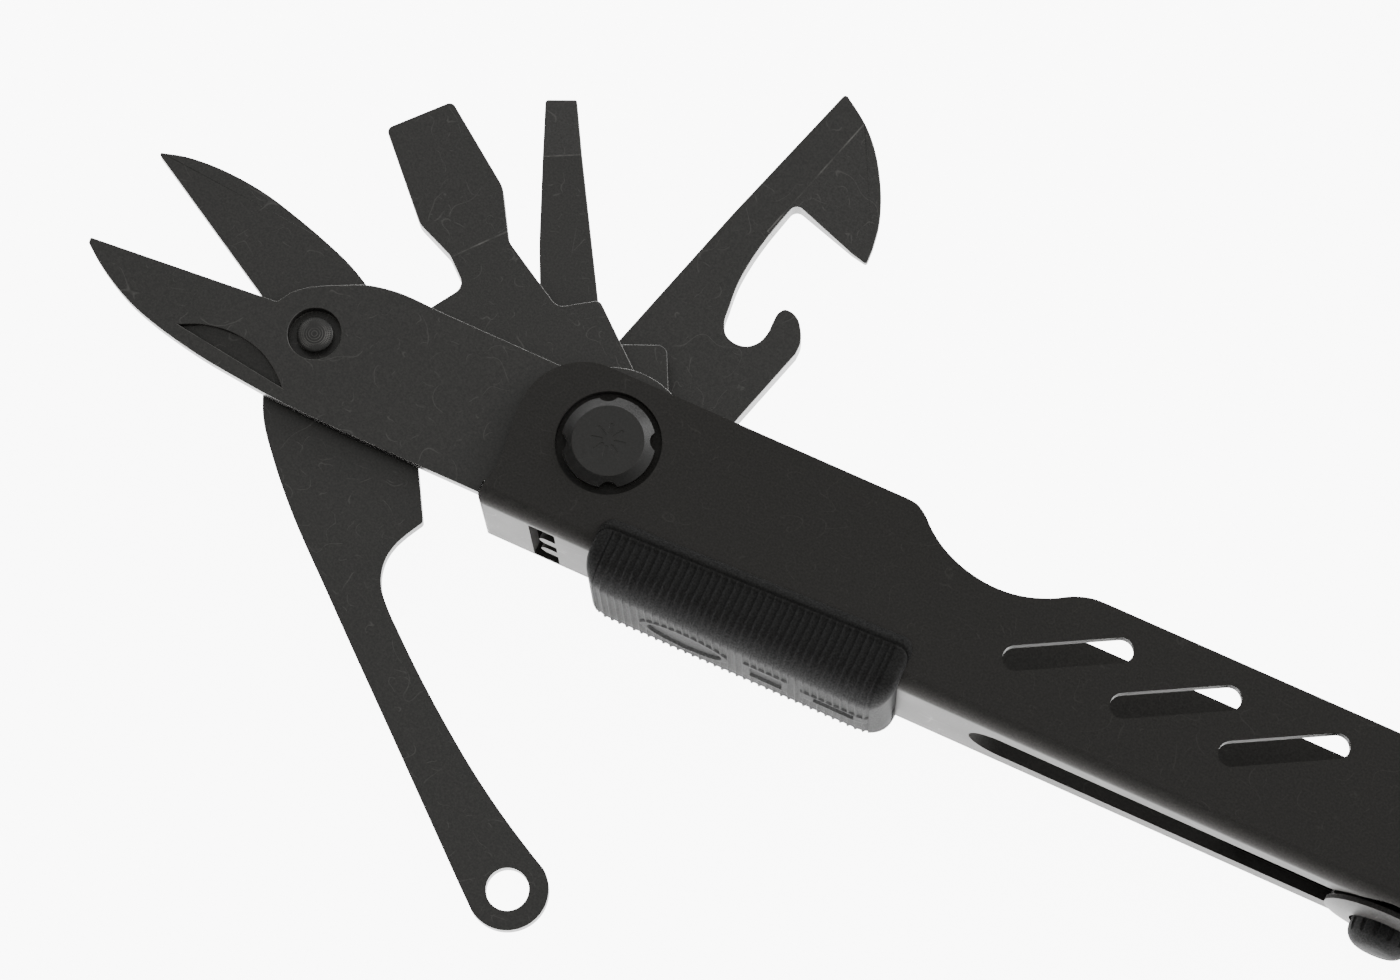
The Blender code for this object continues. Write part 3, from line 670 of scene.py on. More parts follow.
def narrow_driver_mesh(layer, tip_low, tip_high, root_high):
    outline = [
        (13.9, -7.0, 1.2),
        (14.3, 0.3, 0.8),
        (20.0, 0.95, 6.0),
        (38.1, 2.3),
        (45.3, tip_low, 0.3),
        (45.5, tip_high, 0.4),
        (27.0, root_high, 30.0),
        (18.5, root_high + 0.1, 6.0),
        (12.5, TANG_RADIUS, 4.0),
    ]
    mesh = tool_mesh(rounded(outline + tang(-7.0)), layer)
    return ground_tip(mesh, 38.0, 45.2, 0.4, sum(layer) / 2)


def can_opener_mesh(layer):
    notch = [
        (24.6, -7.35),
        (26.0, -6.9),
        (27.3, -5.8),
        (28.0, -4.8),
        (28.2, -3.6),
        (27.9, -2.8),
        (27.1, -2.5),
        (26.0, -2.7),
        (24.4, -3.15),
        (22.8, -3.1),
        (21.5, -2.3),
        (20.9, -1.0),
        (20.95, 0.3),
        (21.8, 1.4),
        (24.1, 2.5),
        (26.7, 3.5),
        (29.8, 4.2),
        (33.0, 4.6),
        (37.3, 4.8),
    ]
    claw = [(38.9, 4.8, 1.0), (38.8, -4.0), (39.0, -6.15, 0.3)]
    edge = [
        (40.9, -5.5),
        (43.6, -4.2),
        (46.0, -2.5),
        (48.2, -0.4),
        (49.9, 1.6),
        (51.3, 3.8),
        (52.4, 6.4),
        (53.1, 8.6),
    ]
    back = [(53.3, 9.3, 0.4), (33.0, 9.7, 60.0)]
    outline = flowing(notch) + claw + flowing(edge) + back
    top = layer[1]
    above_facet = [(5.2, top + 0.02), (-8.0, top - 2.4), (-8.0, top + 1), (5.2, top + 1)]
    blade = tool_mesh(rounded(outline + tang(-7.35)), layer)
    return combined(blade, [prism(above_facet, 34.0, 60.0, "X")])


def knife_mesh(layer):
    outline = [
        (16.0, -7.0, 1.0),
        (18.0, -8.2, 1.0),
        (66.0, -8.2, 30.0),
        (85.0, 1.5, 0.3),
        (62.0, 7.4, 20.0),
        (12.0, 8.2, 6.0),
    ]
    mesh = tool_mesh(rounded(outline + tang(-7.0)), layer)
    low, high = layer
    thumb_hole = stadium((30.0, 4.3), 11.0, 3.4)
    cutters = [prism(thumb_hole, low - 1, high + 1)]
    middle = (low + high) / 2
    for side, face in ((-1, low), (1, high)):
        beyond = face + side
        wedge = [(0.8, face), (-9.0, middle + side * 0.1), (-9.0, beyond), (0.8, beyond)]
        cutters.append(prism(wedge, 19.5, 90.0, "X"))
    return combined(mesh, cutters)


def file_mesh(layer):
    outline = [(70.0, -6.2, 1.5), (70.0, 6.4, 1.5), (16.0, 6.4, 2.0), (12.0, 9.0, 3.0)]
    return tool_mesh(rounded(outline + tang(-6.2)), layer)


def cross_head_driver_mesh(layer):
    middle = sum(layer) / 2
    root = [(18.0, -6.5, 2.0), (18.0, 6.0, 2.0), (12.0, 9.0, 3.0)]
    tang_plate = tool_mesh(rounded(root + tang(-6.5)), layer)
    profile = [(2.1, 15.0), (2.1, 40.0), (0.9, 46.0), (0.0, 46.6)]
    shank = turned(profile, 12, "X", (0.0, 1.5, middle))
    flutes = []
    for i in range(4):
        quarter = math.radians(45 + 90 * i)
        centre = (1.5 + 1.75 * math.cos(quarter), middle + 1.75 * math.sin(quarter))
        flutes.append(prism(circle(0.9, centre, 45.0), 41.0, 50.0, "X"))
    return combined(combined(tang_plate, [shank], "UNION"), flutes)


def lanyard_ring_mesh(layer):
    eye = (19.0, -1.0)
    outline = arc(eye, 5.2, -75, 75) + [(14.0, 7.0, 4.0)] + tang(-6.0)
    return tool_mesh(rounded(outline), layer, [circle(3.2, eye)])


# Slide lock


def lock_rib(x):
    """Depth of the grip's grooves along the lock: 0 on a narrow rib, 1 between ribs."""
    if not RIBBED[0] < x < RIBBED[1]:
        return 0.0
    return 1.0 - (0.5 + 0.5 * math.cos(2 * math.pi * (x - LOCK_REAR) / RIB_PITCH)) ** 4


def end_fall(x, radius):
    """How far a face has dropped where the lock's ends are rounded off by a radius."""
    depth = radius - min(radius, x - LOCK_REAR, LOCK_FRONT - x)
    return radius - math.sqrt(max(0.0, radius * radius - depth * depth))


def inside_recess(x, z):
    """Depth of the outer face in the oval and the bars, or None outside them."""
    middle, half_length, half_width = OVAL
    oval = ((x - middle) / half_length) ** 2 + (z / half_width) ** 2
    if oval < OVAL_RIM:
        return 0.0 if oval > 1.0 else OVAL_DEPTH
    for middle, half_length, half_width, inner in BARS:
        if abs(x - middle) < half_length and abs(z) < half_width:
            outward = max(abs(x - middle) / half_length, abs(z) / half_width)
            return 0.0 if outward > inner else BAR_DEPTH
    return None


def lock_section(x):
    """One section of the lock as (y, z), from the near lip's inside round the outside and back."""
    edge = -8.0 + 1.3 * (x - LOCK_REAR) / (LOCK_FRONT - LOCK_REAR) - end_fall(x, 1.6)
    bottom = LOCK_OUTER + end_fall(x, 3.4)
    half = LOCK_HALF - end_fall(x, 0.9)
    gap_half = CHANNEL_HALF + FIT
    groove = RIB_DEPTH * lock_rib(x)
    bend = min(4.0, SPINE_OUTER - FIT - bottom + 0.4)
    border = edge - LOCK_BORDER
    lip = [
        (edge, gap_half),
        (edge, half - 0.55),
        (edge - 0.16, half - 0.3),
        (edge - 0.5, half - 0.12),
        (border + 0.5, half),
        (border + 0.14, half),
        (border, half - 0.22),
        (border - 0.14, half - 0.02),
        (border - 0.4, half - groove),
    ]
    low_lip = border - 0.8
    lip += [(low_lip + (bottom + bend - low_lip) * i / 5, half - groove) for i in range(5)]
    turn = [math.radians(9 * i) for i in range(11)]
    lip += [
        (
            bottom + bend - (bend - groove) * math.sin(a),
            half - bend + (bend - groove) * math.cos(a),
        )
        for a in turn
    ]
    flat = []
    count = 44  # straight pieces across the outer face
    flat_half = half - bend
    for i in range(1, count):
        z = flat_half - 2 * flat_half * i / count
        recess = inside_recess(x, z)
        flat.append((bottom + (groove if recess is None else recess), z))
    inner_bend = SPINE_RADIUS + FIT
    floor = SPINE_OUTER - FIT
    inner = [
        (floor + inner_bend * (1 - math.sin(a)), gap_half - inner_bend * (1 - math.cos(a)))
        for a in (math.radians(15 * i) for i in range(7))
    ]
    far_lip = [(y, -z) for y, z in reversed(lip)]
    far_inner = [(y, -z) for y, z in inner]
    return lip + flat + far_lip + far_inner + list(reversed(inner))


def slide_lock_mesh():
    """A ribbed shell round the spine, drawn along the handle section by section."""
    ends = [0.0, 0.06, 0.2, 0.42, 0.7, 1.05, 1.4]
    stations = [LOCK_REAR + e for e in ends]
    start, stop = RIBBED
    count = int((stop - start) / RIB_PITCH * 12)
    stations += [start + (stop - start) * i / count for i in range(count + 1)]
    stations += [LOCK_FRONT - e for e in reversed([*ends, 1.7])]
    form = bmesh.new()
    rings = [[form.verts.new((x, y, z)) for y, z in lock_section(x)] for x in stations]
    for near, far in zip(rings, rings[1:]):
        for i in range(len(near)):
            j = (i + 1) % len(near)
            form.faces.new((near[i], near[j], far[j], far[i]))
    caps = [form.faces.new(rings[0]), form.faces.new(rings[-1])]
    bmesh.ops.triangulate(form, faces=caps, ngon_method="EAR_CLIP")
    return finished(form, "slide_lock")


def lock_tongue_mesh():
    """The plate inside the channel, with a neck through the slot in the spine."""
    low = SPINE_INNER + 0.2
    plate = prism(
        rounded([(2.0, -6.3, 1.0), (36.0, -6.3, 1.0), (36.0, 6.3, 1.0), (2.0, 6.3, 1.0)]),
        low,
        low + 0.7,
        "Y",
    )
    neck = [(14.0, -2.0), (30.0, -2.0), (30.0, 2.0), (14.0, 2.0)]
    return combined(plate, [prism(neck, SPINE_OUTER, low + 0.3, "Y")], "UNION")


# Plier head


def jaw_mesh():
    """Frame on the jaws' pivot, +X to the tip. The other jaw is the same piece turned over."""
    mid_gap = 0.15
    beak = [(33.5, mid_gap, 0.3), (33.5, 2.4, 1.2), (21.0, 5.6, 20.0), (9.0, 7.3, 4.0)]
    boss_top = arc((0, 0), BOSS_RADIUS, 52, 165)
    tang_part = [
        (-10.5, -1.5, 3.0),
        (-12.0, -6.1, 3.0),
        (-30.0, -6.1, 1.0),
        (-30.0, -15.6, 1.0),
        (-9.0, -15.6, 1.0),
        (-7.2, -6.5, 2.0),
    ]
    boss_low = arc((0, 0), BOSS_RADIUS, 232, 350) + [(BOSS_RADIUS, mid_gap)]
    outline = rounded(beak + boss_top + tang_part + boss_low)
    through = JAW_HALF + 1
    cutters = [
        prism(circle(BOSS_RADIUS + 0.3, step=15.0), -0.1, through),
        prism(circle(JAW_PIN_RADIUS + FIT), -through, through),
        prism([(4.0, -2.0), (8.4, -2.0), (7.0, 2.2), (5.2, 2.2)], -through, through),
    ]
    for side in (-1, 1):
        slope = [
            (14.0, side * (JAW_HALF + 0.01)),
            (36.0, side * 1.9),
            (36.0, side * 6.0),
            (14.0, side * 6.0),
        ]
        cutters.append(prism([(x, -z) for x, z in slope], -20.0, 20.0, "Y"))
    pipe_grip = prism(circle(2.6, (18.0, -0.9), 30.0), -through, through)
    teeth = []
    tooth_count, first_tooth, tooth_pitch = 8, 23.0, 1.2
    for i in range(tooth_count):
        x = first_tooth + tooth_pitch * i
        teeth.append(prism([(x, -1), (x + 1.0, -1), (x + 0.5, 0.65)], -through, through))
    return combined(prism(outline, -JAW_HALF, JAW_HALF), [*cutters, pipe_grip, *teeth])


def carriage_mesh():
    """Handle frame: a deck under the jaw's tang, with a sloped collar outside the spine.

    Two posts through the track hold the collar, so the head can slide.
    """
    deck = rounded([(84.0, -7.1, 1.0), (111.8, -7.1, 1.0), (111.8, 7.1, 1.0), (84.0, 7.1, 1.0)])
    low, high = SPINE_INNER + 0.25, -7.3
    under = SPINE_OUTER - FIT
    additions = [
        turned(
            [(COLLAR_RADIUS, under), (COLLAR_RADIUS, under - 0.6), (4.9, -13.5)],
            72,
            "Y",
            (BUTTON_X, 0.0, 0.0),
        )
    ]
    for side in (-1, 1):
        near, far = sorted(BUTTON_X + side * reach for reach in POST_SPAN)
        post = [(near, -POST_HALF), (far, -POST_HALF), (far, POST_HALF), (near, POST_HALF)]
        additions.append(prism(post, under - 0.1, low + 0.3, "Y"))
    body = combined(prism(deck, low, high, "Y"), additions, "UNION")
    bore = [
        (BUTTON_RADIUS + BUTTON_CLEARANCE, -15.0),
        (BUTTON_RADIUS + BUTTON_CLEARANCE, -11.0),
        (STEM_RADIUS + BUTTON_CLEARANCE, -11.0),
        (STEM_RADIUS + BUTTON_CLEARANCE, -5.0),
    ]
    return combined(body, [turned(bore, 72, "Y", (BUTTON_X, 0.0, 0.0))])


def button_mesh():
    """Handle frame: a domed stud with a grooved side, on a stem that slides in the carriage."""
    dome = arc((BUTTON_RADIUS - 2.0, -14.2), 2.0, 0, -75, 7.5)
    profile = [(STEM_RADIUS, -9.6), (STEM_RADIUS, BUTTON_UNDER)]
    profile += [(BUTTON_RADIUS - 0.15, BUTTON_UNDER), (BUTTON_RADIUS, BUTTON_UNDER - 0.15)]
    profile += [*dome, (0.0, -16.19)]
    knob = turned(profile, 96, "Y", (BUTTON_X, 0.0, 0.0))
    grooves = []
    groove_count, groove_radius = 14, 0.42
    reach = BUTTON_RADIUS + 0.2
    for i in range(groove_count):
        a = 2 * math.pi * i / groove_count
        centre = (BUTTON_X + reach * math.cos(a), reach * math.sin(a))
        grooves.append(prism(circle(groove_radius, centre, 20.0), -15.4, -13.5, "Y"))
    return combined(knob, grooves)


def button_spring_mesh():
    """A short coil between the stem and the jaw's tang."""
    turns, steps, sides = 2.5, 36, 12
    coil_radius, wire = 1.5, 0.25
    low, high = SPRING_ENDS
    count = int(turns * steps)
    form = bmesh.new()
    rings = []
    for i in range(count + 1):
        around = 2 * math.pi * i / steps
        height = low + (high - low) * i / count
        out = Vector((math.cos(around), 0, math.sin(around)))
        centre = Vector((BUTTON_X, -height, 0)) + out * coil_radius
        ring = []
        for j in range(sides):
            spoke = 2 * math.pi * j / sides
            ring.append(
                form.verts.new(
                    centre + (out * math.cos(spoke) + Vector((0, math.sin(spoke), 0))) * wire
                )
            )
        rings.append(ring)
    for lower, upper in zip(rings, rings[1:]):
        for j in range(sides):
            k = (j + 1) % sides
            form.faces.new((lower[j], lower[k], upper[k], upper[j]))
    form.faces.new(rings[0])
    form.faces.new(rings[-1])
    return finished(form, "spring")


def jaw_pin_mesh():
    end, radius, chamfer = JAW_HALF - 0.1, JAW_PIN_RADIUS, 0.2
    return turned(
        [
            (radius - chamfer, -end),
            (radius, chamfer - end),
            (radius, end - chamfer),
            (radius - chamfer, end),
        ]
    )


# Finishes


class Tree:
    """A material's node tree, with short ways to add nodes and join them up."""

    def __init__(self, name):
        self.material = bpy.data.materials.new(name)
        self.material.use_nodes = True
        self.tree = self.material.node_tree
        self.shader = self.tree.nodes["Principled BSDF"]
        self.place = self.add("ShaderNodeTexCoord").outputs["Object"]

    def add(self, kind, inputs=None, **settings):
        made = self.tree.nodes.new(kind)
        for key, value in settings.items():
            setattr(made, key, value)
        for key, value in (inputs or {}).items():
            if isinstance(value, bpy.types.NodeSocket):
                self.tree.links.new(value, made.inputs[key])
            else:
                made.inputs[key].default_value = value
        return made

    def noise(self, scale, detail=3.0, place=None, roughness=0.55):
        inputs = {"Vector": place or self.place, "Scale": scale}
        inputs |= {"Detail": detail, "Roughness": roughness}
        return self.add("ShaderNodeTexNoise", inputs).outputs["Fac"]

    def between(self, value, low, high, to_low=0.0, to_high=1.0):
        inputs = {"Value": value, "From Min": low, "From Max": high}
        inputs |= {"To Min": to_low, "To Max": to_high}
        return self.add("ShaderNodeMapRange", inputs).outputs["Result"]

    def maths(self, operation, a, b):
        return self.add("ShaderNodeMath", {0: a, 1: b}, operation=operation).outputs[0]

    def mixed(self, factor, a, b):
        made = self.add("ShaderNodeMix", {0: factor, 6: a, 7: b}, data_type="RGBA")
        return made.outputs[2]

    def hairlines(self, scale, width, broken_below):
        """Curved fine marks: level lines of one noise, broken up by a second noise."""
        shift = (1 / scale, 2 / scale, 0.0)
        moved = self.add("ShaderNodeVectorMath", {0: self.place, 1: shift}).outputs[0]
        from_level = self.maths("SUBTRACT", self.noise(scale, 1.0, moved, 0.4), 0.5)
        distance = self.maths("ABSOLUTE", from_level, 0.0)
        line = self.between(distance, 0.0, width, 1.0, 0.0)
        second = self.noise(1.7 * scale, 2.0, moved)
        kept = self.between(second, broken_below, broken_below + 0.06)
        return self.maths("MULTIPLY", line, kept)


def shade(value, warmth=0.0):
    return (value * (1 + warmth), value, value * (1 - warmth), 1.0)


# Scales of the noises in a coat, and of the file's cut
SPECKLE_SCALE = 4200.0
CLOUD_SCALE = 90.0
EDGE_HIGHLIGHT_SCALE = 420.0
FILE_CUT_SCALE = 520.0
FILE_CUT_ANGLE = 38.0
BUMP_DISTANCE = 0.00002


def coated(name, look, painted_edge_light=False):
    """A dark coat with speckle, cloudy gloss and fine scratches; on bevels, a painted edge
    highlight.
    """
    made = Tree(name)
    dark, light = look["dark"], look["light"]
    fine = made.between(made.noise(SPECKLE_SCALE, 2.0), 0.3, 0.7)
    cloud = made.between(made.noise(CLOUD_SCALE, 4.0), 0.3, 0.7)
    low, high = dark * (1 - look["speckle"]), dark * (1 + look["speckle"])
    colour = made.mixed(fine, shade(low, look["warmth"]), shade(high, look["warmth"]))
    marks = None
    for hairline in look["scratches"]:
        layer = made.hairlines(*hairline)
        marks = layer if marks is None else made.maths("MAXIMUM", marks, layer)
    if marks is not None:
        strength = made.maths("MULTIPLY", marks, look["scratch_strength"])
        colour = made.mixed(strength, colour, shade(light, look["warmth"]))
    # the bevels' coat: patches of lighter colour painted along the edges as a highlight
    if painted_edge_light:
        edge_highlight_patches = made.between(made.noise(EDGE_HIGHLIGHT_SCALE, 4.0), 0.4, 0.66)
        edge_base_tone = shade(dark * 1.3, look["warmth"])
        colour = made.mixed(edge_highlight_patches, edge_base_tone, shade(look["edge"], look["warmth"]))
    made.tree.links.new(colour, made.shader.inputs["Base Color"])
    rough = look["roughness"] - (0.08 if painted_edge_light else 0.0)
    roughness = made.between(cloud, 0.0, 1.0, rough - 0.04, rough + 0.04)
    if marks is not None:
        less = made.maths("MULTIPLY", marks, -0.08)
        roughness = made.maths("ADD", roughness, less)
    made.tree.links.new(roughness, made.shader.inputs["Roughness"])
    height = made.noise(look["grain"], 3.0)
    if look.get("file_cut"):
        for angle in (FILE_CUT_ANGLE, -FILE_CUT_ANGLE):
            place = made.add(
                "ShaderNodeMapping",
                {"Vector": made.place, "Rotation": (0.0, 0.0, math.radians(angle))},
            ).outputs["Vector"]
            wave_inputs = {"Vector": place, "Scale": FILE_CUT_SCALE}
            wave = made.add("ShaderNodeTexWave", wave_inputs, wave_profile="SAW")
            height = made.maths("ADD", height, made.maths("MULTIPLY", wave.outputs["Fac"], 3.0))
    bump = made.add(
        "ShaderNodeBump",
        {"Height": height, "Strength": look["bump"], "Distance": BUMP_DISTANCE},
    )
    made.tree.links.new(bump.outputs["Normal"], made.shader.inputs["Normal"])
    made.shader.inputs["Metallic"].default_value = look["metallic"]
    made.shader.inputs["IOR"].default_value = look["ior"]
    return made.material


# Layers of hairlines: scale of the noise, width of a line, noise level below which it breaks off
HAIRLINES = ((130.0, 0.0040, 0.52), (210.0, 0.0060, 0.54), (330.0, 0.0085, 0.56))
PLAIN = {
    "dark": 0.026,
    "speckle": 0.32,
    # colour of the painted highlight on bevelled edges
    "light": 0.16,
    "edge": 0.12,
    "warmth": 0.035,
    "scratches": HAIRLINES,
    "scratch_strength": 0.26,
    "roughness": 0.44,
    "grain": 4200.0,
    "bump": 0.3,
    "metallic": 0.0,
    "ior": 1.42,
}
LOOKS = {
    "black_sheet": PLAIN
    | {
        "dark": 0.038,
        "speckle": 0.16,
        "scratch_strength": 0.10,
        "roughness": 0.36,
        "bump": 0.15,
        "ior": 1.065,
    },
    "black_tool": PLAIN,
    "black_file": PLAIN | {"file_cut": True, "bump": 0.9},
    "black_head": PLAIN
    | {
        "dark": 0.012,
        "scratch_strength": 0.1,
        "roughness": 0.34,
        "grain": 2200.0,
        "bump": 0.35,
        "ior": 1.45,
    },
    "black_jaw": PLAIN | {"roughness": 0.40, "ior": 1.12},
    "black_moulded": PLAIN
    | {
        "dark": 0.026,
        "edge": 0.05,
        "warmth": 0.0,
        "scratches": (),
        "roughness": 0.48,
        "grain": 3000.0,
        "bump": 0.6,
        "ior": 1.035,
    },
    "spring_steel": PLAIN
    | {
        "dark": 0.34,
        "light": 0.6,
        "edge": 0.5,
        "warmth": 0.0,
        "metallic": 1.0,
        "roughness": 0.3,
        "grain": 900.0,
    },
}
finishes = {}
# each look gives a plain coat and a bevel coat whose lighter colour is a painted edge highlight
for look_name, values in LOOKS.items():
    finishes[look_name] = (
        coated(look_name + "_coat", values),
        coated(look_name + "_edge", values, painted_edge_light=True),
    )


# Frames of the handles and jaws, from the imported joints


joints = {joint["name"]: joint for joint in frame["joints"]}


def joint_place(name):
    return Vector(joints[name]["pos_m"])


def frame_at(origin, x_axis=(1, 0, 0), y_axis=(0, 1, 0)):
    x = Vector(x_axis).normalized()
    y = Vector(y_axis).normalized()
    turn = Matrix((x, y, x.cross(y))).transposed().to_4x4()
    return Matrix.Translation(origin) @ turn


b_x = -Vector(joints["lock_b_slide"]["axis"])
b_y = Vector(joints["button_b_press"]["axis"])
handle_a = frame_at(joint_place("large_driver_fold"))
handle_b = frame_at(joint_place("knife_fold"), b_x, b_y)
jaw_a = frame_at(joint_place("pliers"))
jaw_b = frame_at(joint_place("pliers"), b_x, b_y)


def turned_by(place, angle):
    return place @ Matrix.Rotation(math.radians(angle), 4, "Z")


# Pieces


def mark_creases(mesh):
    """Marks the edges that are sharp and get a bevel, ground flats included; the bevel carries the
    painted edge highlight.
    """
    form = bmesh.new()
    form.from_mesh(mesh)
    weight = form.edges.layers.float.new("bevel_weight_edge")
    for edge in form.edges:
        if len(edge.link_faces) != 2:
            continue
        angle = edge.calc_face_angle()
        level = all(abs(face.normal.z) > LEVEL_NORMAL for face in edge.link_faces)
        edge.smooth = angle <= math.radians(GROUND_ANGLE if level else CREASE_ANGLE)
        edge[weight] = 0.0 if edge.smooth else 1.0
    form.to_mesh(mesh)
    form.free()


def piece(node, mesh, finish, place, body, bevel=BEVEL, creases=True):
    """Stands for one CAD node: beveled, shaded and riding on the node's body.

    A body that is not a name, such as (first body, second body, start, end), leaves the piece on no
    body, its place baked into its mesh.
    """
    made = bpy.data.objects.new(node + "_look", mesh.copy())
    made.data.name = node + "_look"
    made.data.materials.clear()
    for surface in finishes[finish]:
        made.data.materials.append(surface)
    made.data.shade_smooth()
    if creases:
        mark_creases(made.data)
    made.data.transform(place)
    bpy.context.scene.collection.objects.link(made)
    if bevel:
        edges = made.modifiers.new("Edges", "BEVEL")
        edges.width = bevel * MM
        edges.segments = 2
        edges.limit_method = "WEIGHT"
        # the bevel's faces take the second coat, which paints a highlight along the edges
        edges.material = 1
        edges.use_clamp_overlap = node not in UNCLAMPED
    weights = made.modifiers.new("Normals", "WEIGHTED_NORMAL")
    weights.keep_sharp = True
    if isinstance(body, str):
        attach(made, body)
    else:
        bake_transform(made)
    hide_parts(node)


def build_handle(side, place, layers):
    handle, lock, jaw = f"handle_{side}", f"lock_{side}", f"jaw_{side}"
    spacer = spacer_mesh(*layers["pivot_spacer"])
    seat, tip = (place @ (Vector((BUTTON_X, -y, 0.0)) * MM) for y in SPRING_ENDS)
    spring_bodies = (jaw, f"button_{side}", tuple(seat), tuple(tip))
    parts = [
        (f"handle_{side}", handle_mesh(), "black_sheet", handle, 0.1),
        (f"pivot_bolt_{side}", bolt_mesh(), "black_head", handle, 0.1),
        (f"pivot_nut_{side}", nut_mesh(), "black_head", handle, 0.1),
        (f"pivot_spacer_{side}", spacer, "black_tool", handle, 0.1),
        (f"slide_lock_{side}", slide_lock_mesh(), "black_moulded", lock, 0),
        (f"lock_tongue_{side}", lock_tongue_mesh(), "black_tool", lock, 0.08),
        (f"carriage_{side}", carriage_mesh(), "black_jaw", jaw, 0.06),
        (f"latch_button_{side}", button_mesh(), "black_moulded", f"button_{side}", 0.06),
        (f"latch_spring_{side}", button_spring_mesh(), "spring_steel", spring_bodies, 0),
    ]
    for node, mesh, finish, body, bevel in parts:
        creases = not node.startswith("slide_lock")
        piece(node, mesh, finish, place, body, bevel, creases)


def build_tools_a():
    layers = LAYERS_A
    plate = turned_by(handle_a, REST_ANGLES["scissors_fixed_blade"])
    rivet = plate @ Matrix.Translation(Vector((*RIVET, 0)) * MM)
    small = narrow_driver_mesh(layers["small_flat_driver"], 2.7, 6.5, 7.7)
    parts = [
        ("scissors_fixed_blade", scissors_fixed_mesh(layers["scissors_fixed_blade"]), "scissors"),
        ("large_flat_driver", large_driver_mesh(layers["large_flat_driver"]), "large_driver"),
        ("small_flat_driver", small, "small_driver"),
        ("can_opener", can_opener_mesh(layers["can_opener"]), "can_opener"),
    ]
    for node, mesh, body in parts:
        piece(node, mesh, "black_tool", turned_by(handle_a, REST_ANGLES[node]), body)
    lever = scissors_lever_mesh(layers["scissors_lever_blade"])
    lever_place = turned_by(rivet, LEVER_REST)
    piece("scissors_lever_blade", lever, "black_tool", lever_place, "scissors_lever")
    piece("scissors_rivet", rivet_mesh(), "black_head", rivet, "scissors", 0.06)


def build_tools_b():
    layers = LAYERS_B
    medium = narrow_driver_mesh(layers["medium_flat_driver"], 1.9, 7.4, 7.9)
    cross = cross_head_driver_mesh(layers["cross_head_driver"])
    parts = [
        ("knife_blade", knife_mesh(layers["knife_blade"]), "black_tool", "knife"),
        ("file", file_mesh(layers["file"]), "black_file", "file"),
        ("cross_head_driver", cross, "black_tool", "cross_driver"),
        ("medium_flat_driver", medium, "black_tool", "medium_driver"),
        ("lanyard_ring", lanyard_ring_mesh(layers["lanyard_ring"]), "black_tool", "lanyard"),
    ]
    for node, mesh, finish, body in parts:
        piece(node, mesh, finish, handle_b, body)


# Stage


def build_stage():
    form = bmesh.new()
    bmesh.ops.create_circle(form, cap_ends=True, segments=96, radius=FLOOR_RADIUS)
    mesh = bpy.data.meshes.new("floor")
    form.to_mesh(mesh)
    form.free()
    made = bpy.data.objects.new("floor", mesh)
    made.location.z = -FLOOR_DROP
    bpy.context.scene.collection.objects.link(made)
    pale = bpy.data.materials.new("pale_floor")
    pale.use_nodes = True
    shader = pale.node_tree.nodes["Principled BSDF"]
    shader.inputs["Base Color"].default_value = (0.8, 0.8, 0.8, 1)
    shader.inputs["Roughness"].default_value = 0.9
    shader.inputs["Emission Color"].default_value = (1, 1, 1, 1)
    shader.inputs["Emission Strength"].default_value = FLOOR_GLOW
    mesh.materials.append(pale)


def direction(azimuth, elevation):
    """A unit vector from the origin, its angles in degrees."""
    a, e = math.radians(azimuth), math.radians(elevation)
    return Vector((math.cos(a) * math.cos(e), math.sin(a) * math.cos(e), math.sin(e)))


def sky_ramp(nodes, stops):
    made = nodes.new("ShaderNodeValToRGB")
    ramp = made.color_ramp
    ramp.elements[0].position, ramp.elements[0].color = stops[0]
    ramp.elements[1].position, ramp.elements[1].color = stops[-1]
    for position, colour in stops[1:-1]:
        ramp.elements.new(position).color = colour
    return made


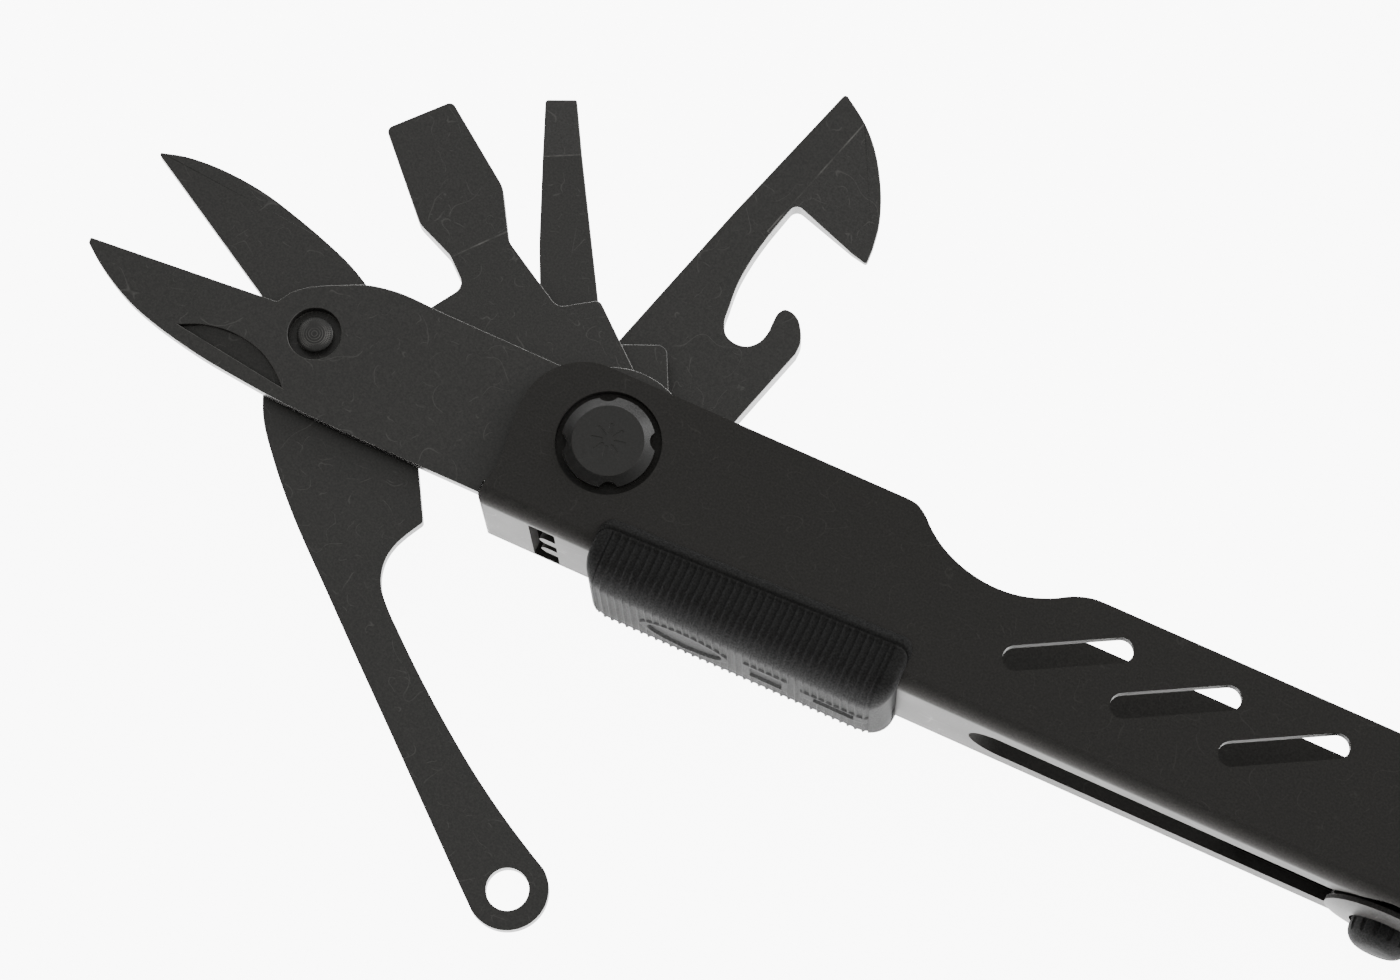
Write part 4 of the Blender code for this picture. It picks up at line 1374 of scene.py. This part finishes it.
def build_light():
    """A soft surround: dim overhead and on the camera's side, brighter low down on the far side."""
    world = bpy.data.worlds.new("surround")
    bpy.context.scene.world = world
    world.use_nodes = True
    nodes, links = world.node_tree.nodes, world.node_tree.links
    place = nodes.new("ShaderNodeTexCoord").outputs["Generated"]
    split = nodes.new("ShaderNodeSeparateXYZ")
    links.new(place, split.inputs["Vector"])
    across = nodes.new("ShaderNodeVectorMath")
    across.operation = "DOT_PRODUCT"
    across.inputs[1].default_value = FAR_SIDE
    links.new(place, across.inputs[0])
    share = nodes.new("ShaderNodeMapRange")
    share.interpolation_type = "SMOOTHSTEP"
    share.inputs["From Min"].default_value = SIDE_BLEND[0]
    share.inputs["From Max"].default_value = SIDE_BLEND[1]
    links.new(across.outputs["Value"], share.inputs["Value"])
    mix = nodes.new("ShaderNodeMix")
    mix.data_type = "RGBA"
    links.new(share.outputs["Result"], mix.inputs[0])
    for socket, stops in ((6, SKY_NEAR), (7, SKY_FAR)):  # the mix's two colours
        ramp = sky_ramp(nodes, stops)
        links.new(split.outputs["Z"], ramp.inputs["Fac"])
        links.new(ramp.outputs["Color"], mix.inputs[socket])
    background = nodes["Background"]
    links.new(mix.outputs[2], background.inputs["Color"])
    background.inputs["Strength"].default_value = SKY_STRENGTH
    lamp = bpy.data.lights.new("far_soft_box", "AREA")
    lamp.shape = "RECTANGLE"
    lamp.size, lamp.size_y = SOFT_BOX_SIZE
    lamp.energy = SOFT_BOX_POWER
    made = bpy.data.objects.new("far_soft_box", lamp)
    bpy.context.scene.collection.objects.link(made)
    away = direction(SOFT_BOX_AZIMUTH, SOFT_BOX_ELEVATION)
    made.location = away * SOFT_BOX_DISTANCE
    made.rotation_mode = "QUATERNION"
    made.rotation_quaternion = away.to_track_quat("Z", "Y")


def build_camera():
    """Nearly overhead, looking down at the tool end of the first handle."""
    back = direction(CAMERA_AZIMUTH, CAMERA_ELEVATION)
    level = Vector((0, 0, 1)).cross(back).normalized()
    upright = Matrix((level, back.cross(level), back)).transposed().to_4x4()
    data = bpy.data.cameras.new("camera")
    data.lens = CAMERA_LENS
    data.sensor_width = CAMERA_SENSOR
    data.clip_end = 20.0
    made = bpy.data.objects.new("camera", data)
    bpy.context.scene.collection.objects.link(made)
    target = handle_a @ (Vector(CAMERA_TARGET) * MM)
    roll = Matrix.Rotation(math.radians(CAMERA_ROLL), 4, "Z")
    made.matrix_world = Matrix.Translation(target + back * CAMERA_DISTANCE * MM) @ upright @ roll
    bpy.context.scene.camera = made


build_handle("a", handle_a, LAYERS_A)
build_handle("b", handle_b, LAYERS_B)
build_tools_a()
build_tools_b()
for side, place in (("a", jaw_a), ("b", jaw_b)):
    piece(f"jaw_{side}", jaw_mesh(), "black_jaw", place, f"jaw_{side}")
piece("jaw_pivot_pin", jaw_pin_mesh(), "black_head", jaw_a, "jaw_a")
build_stage()
build_light()
build_camera()
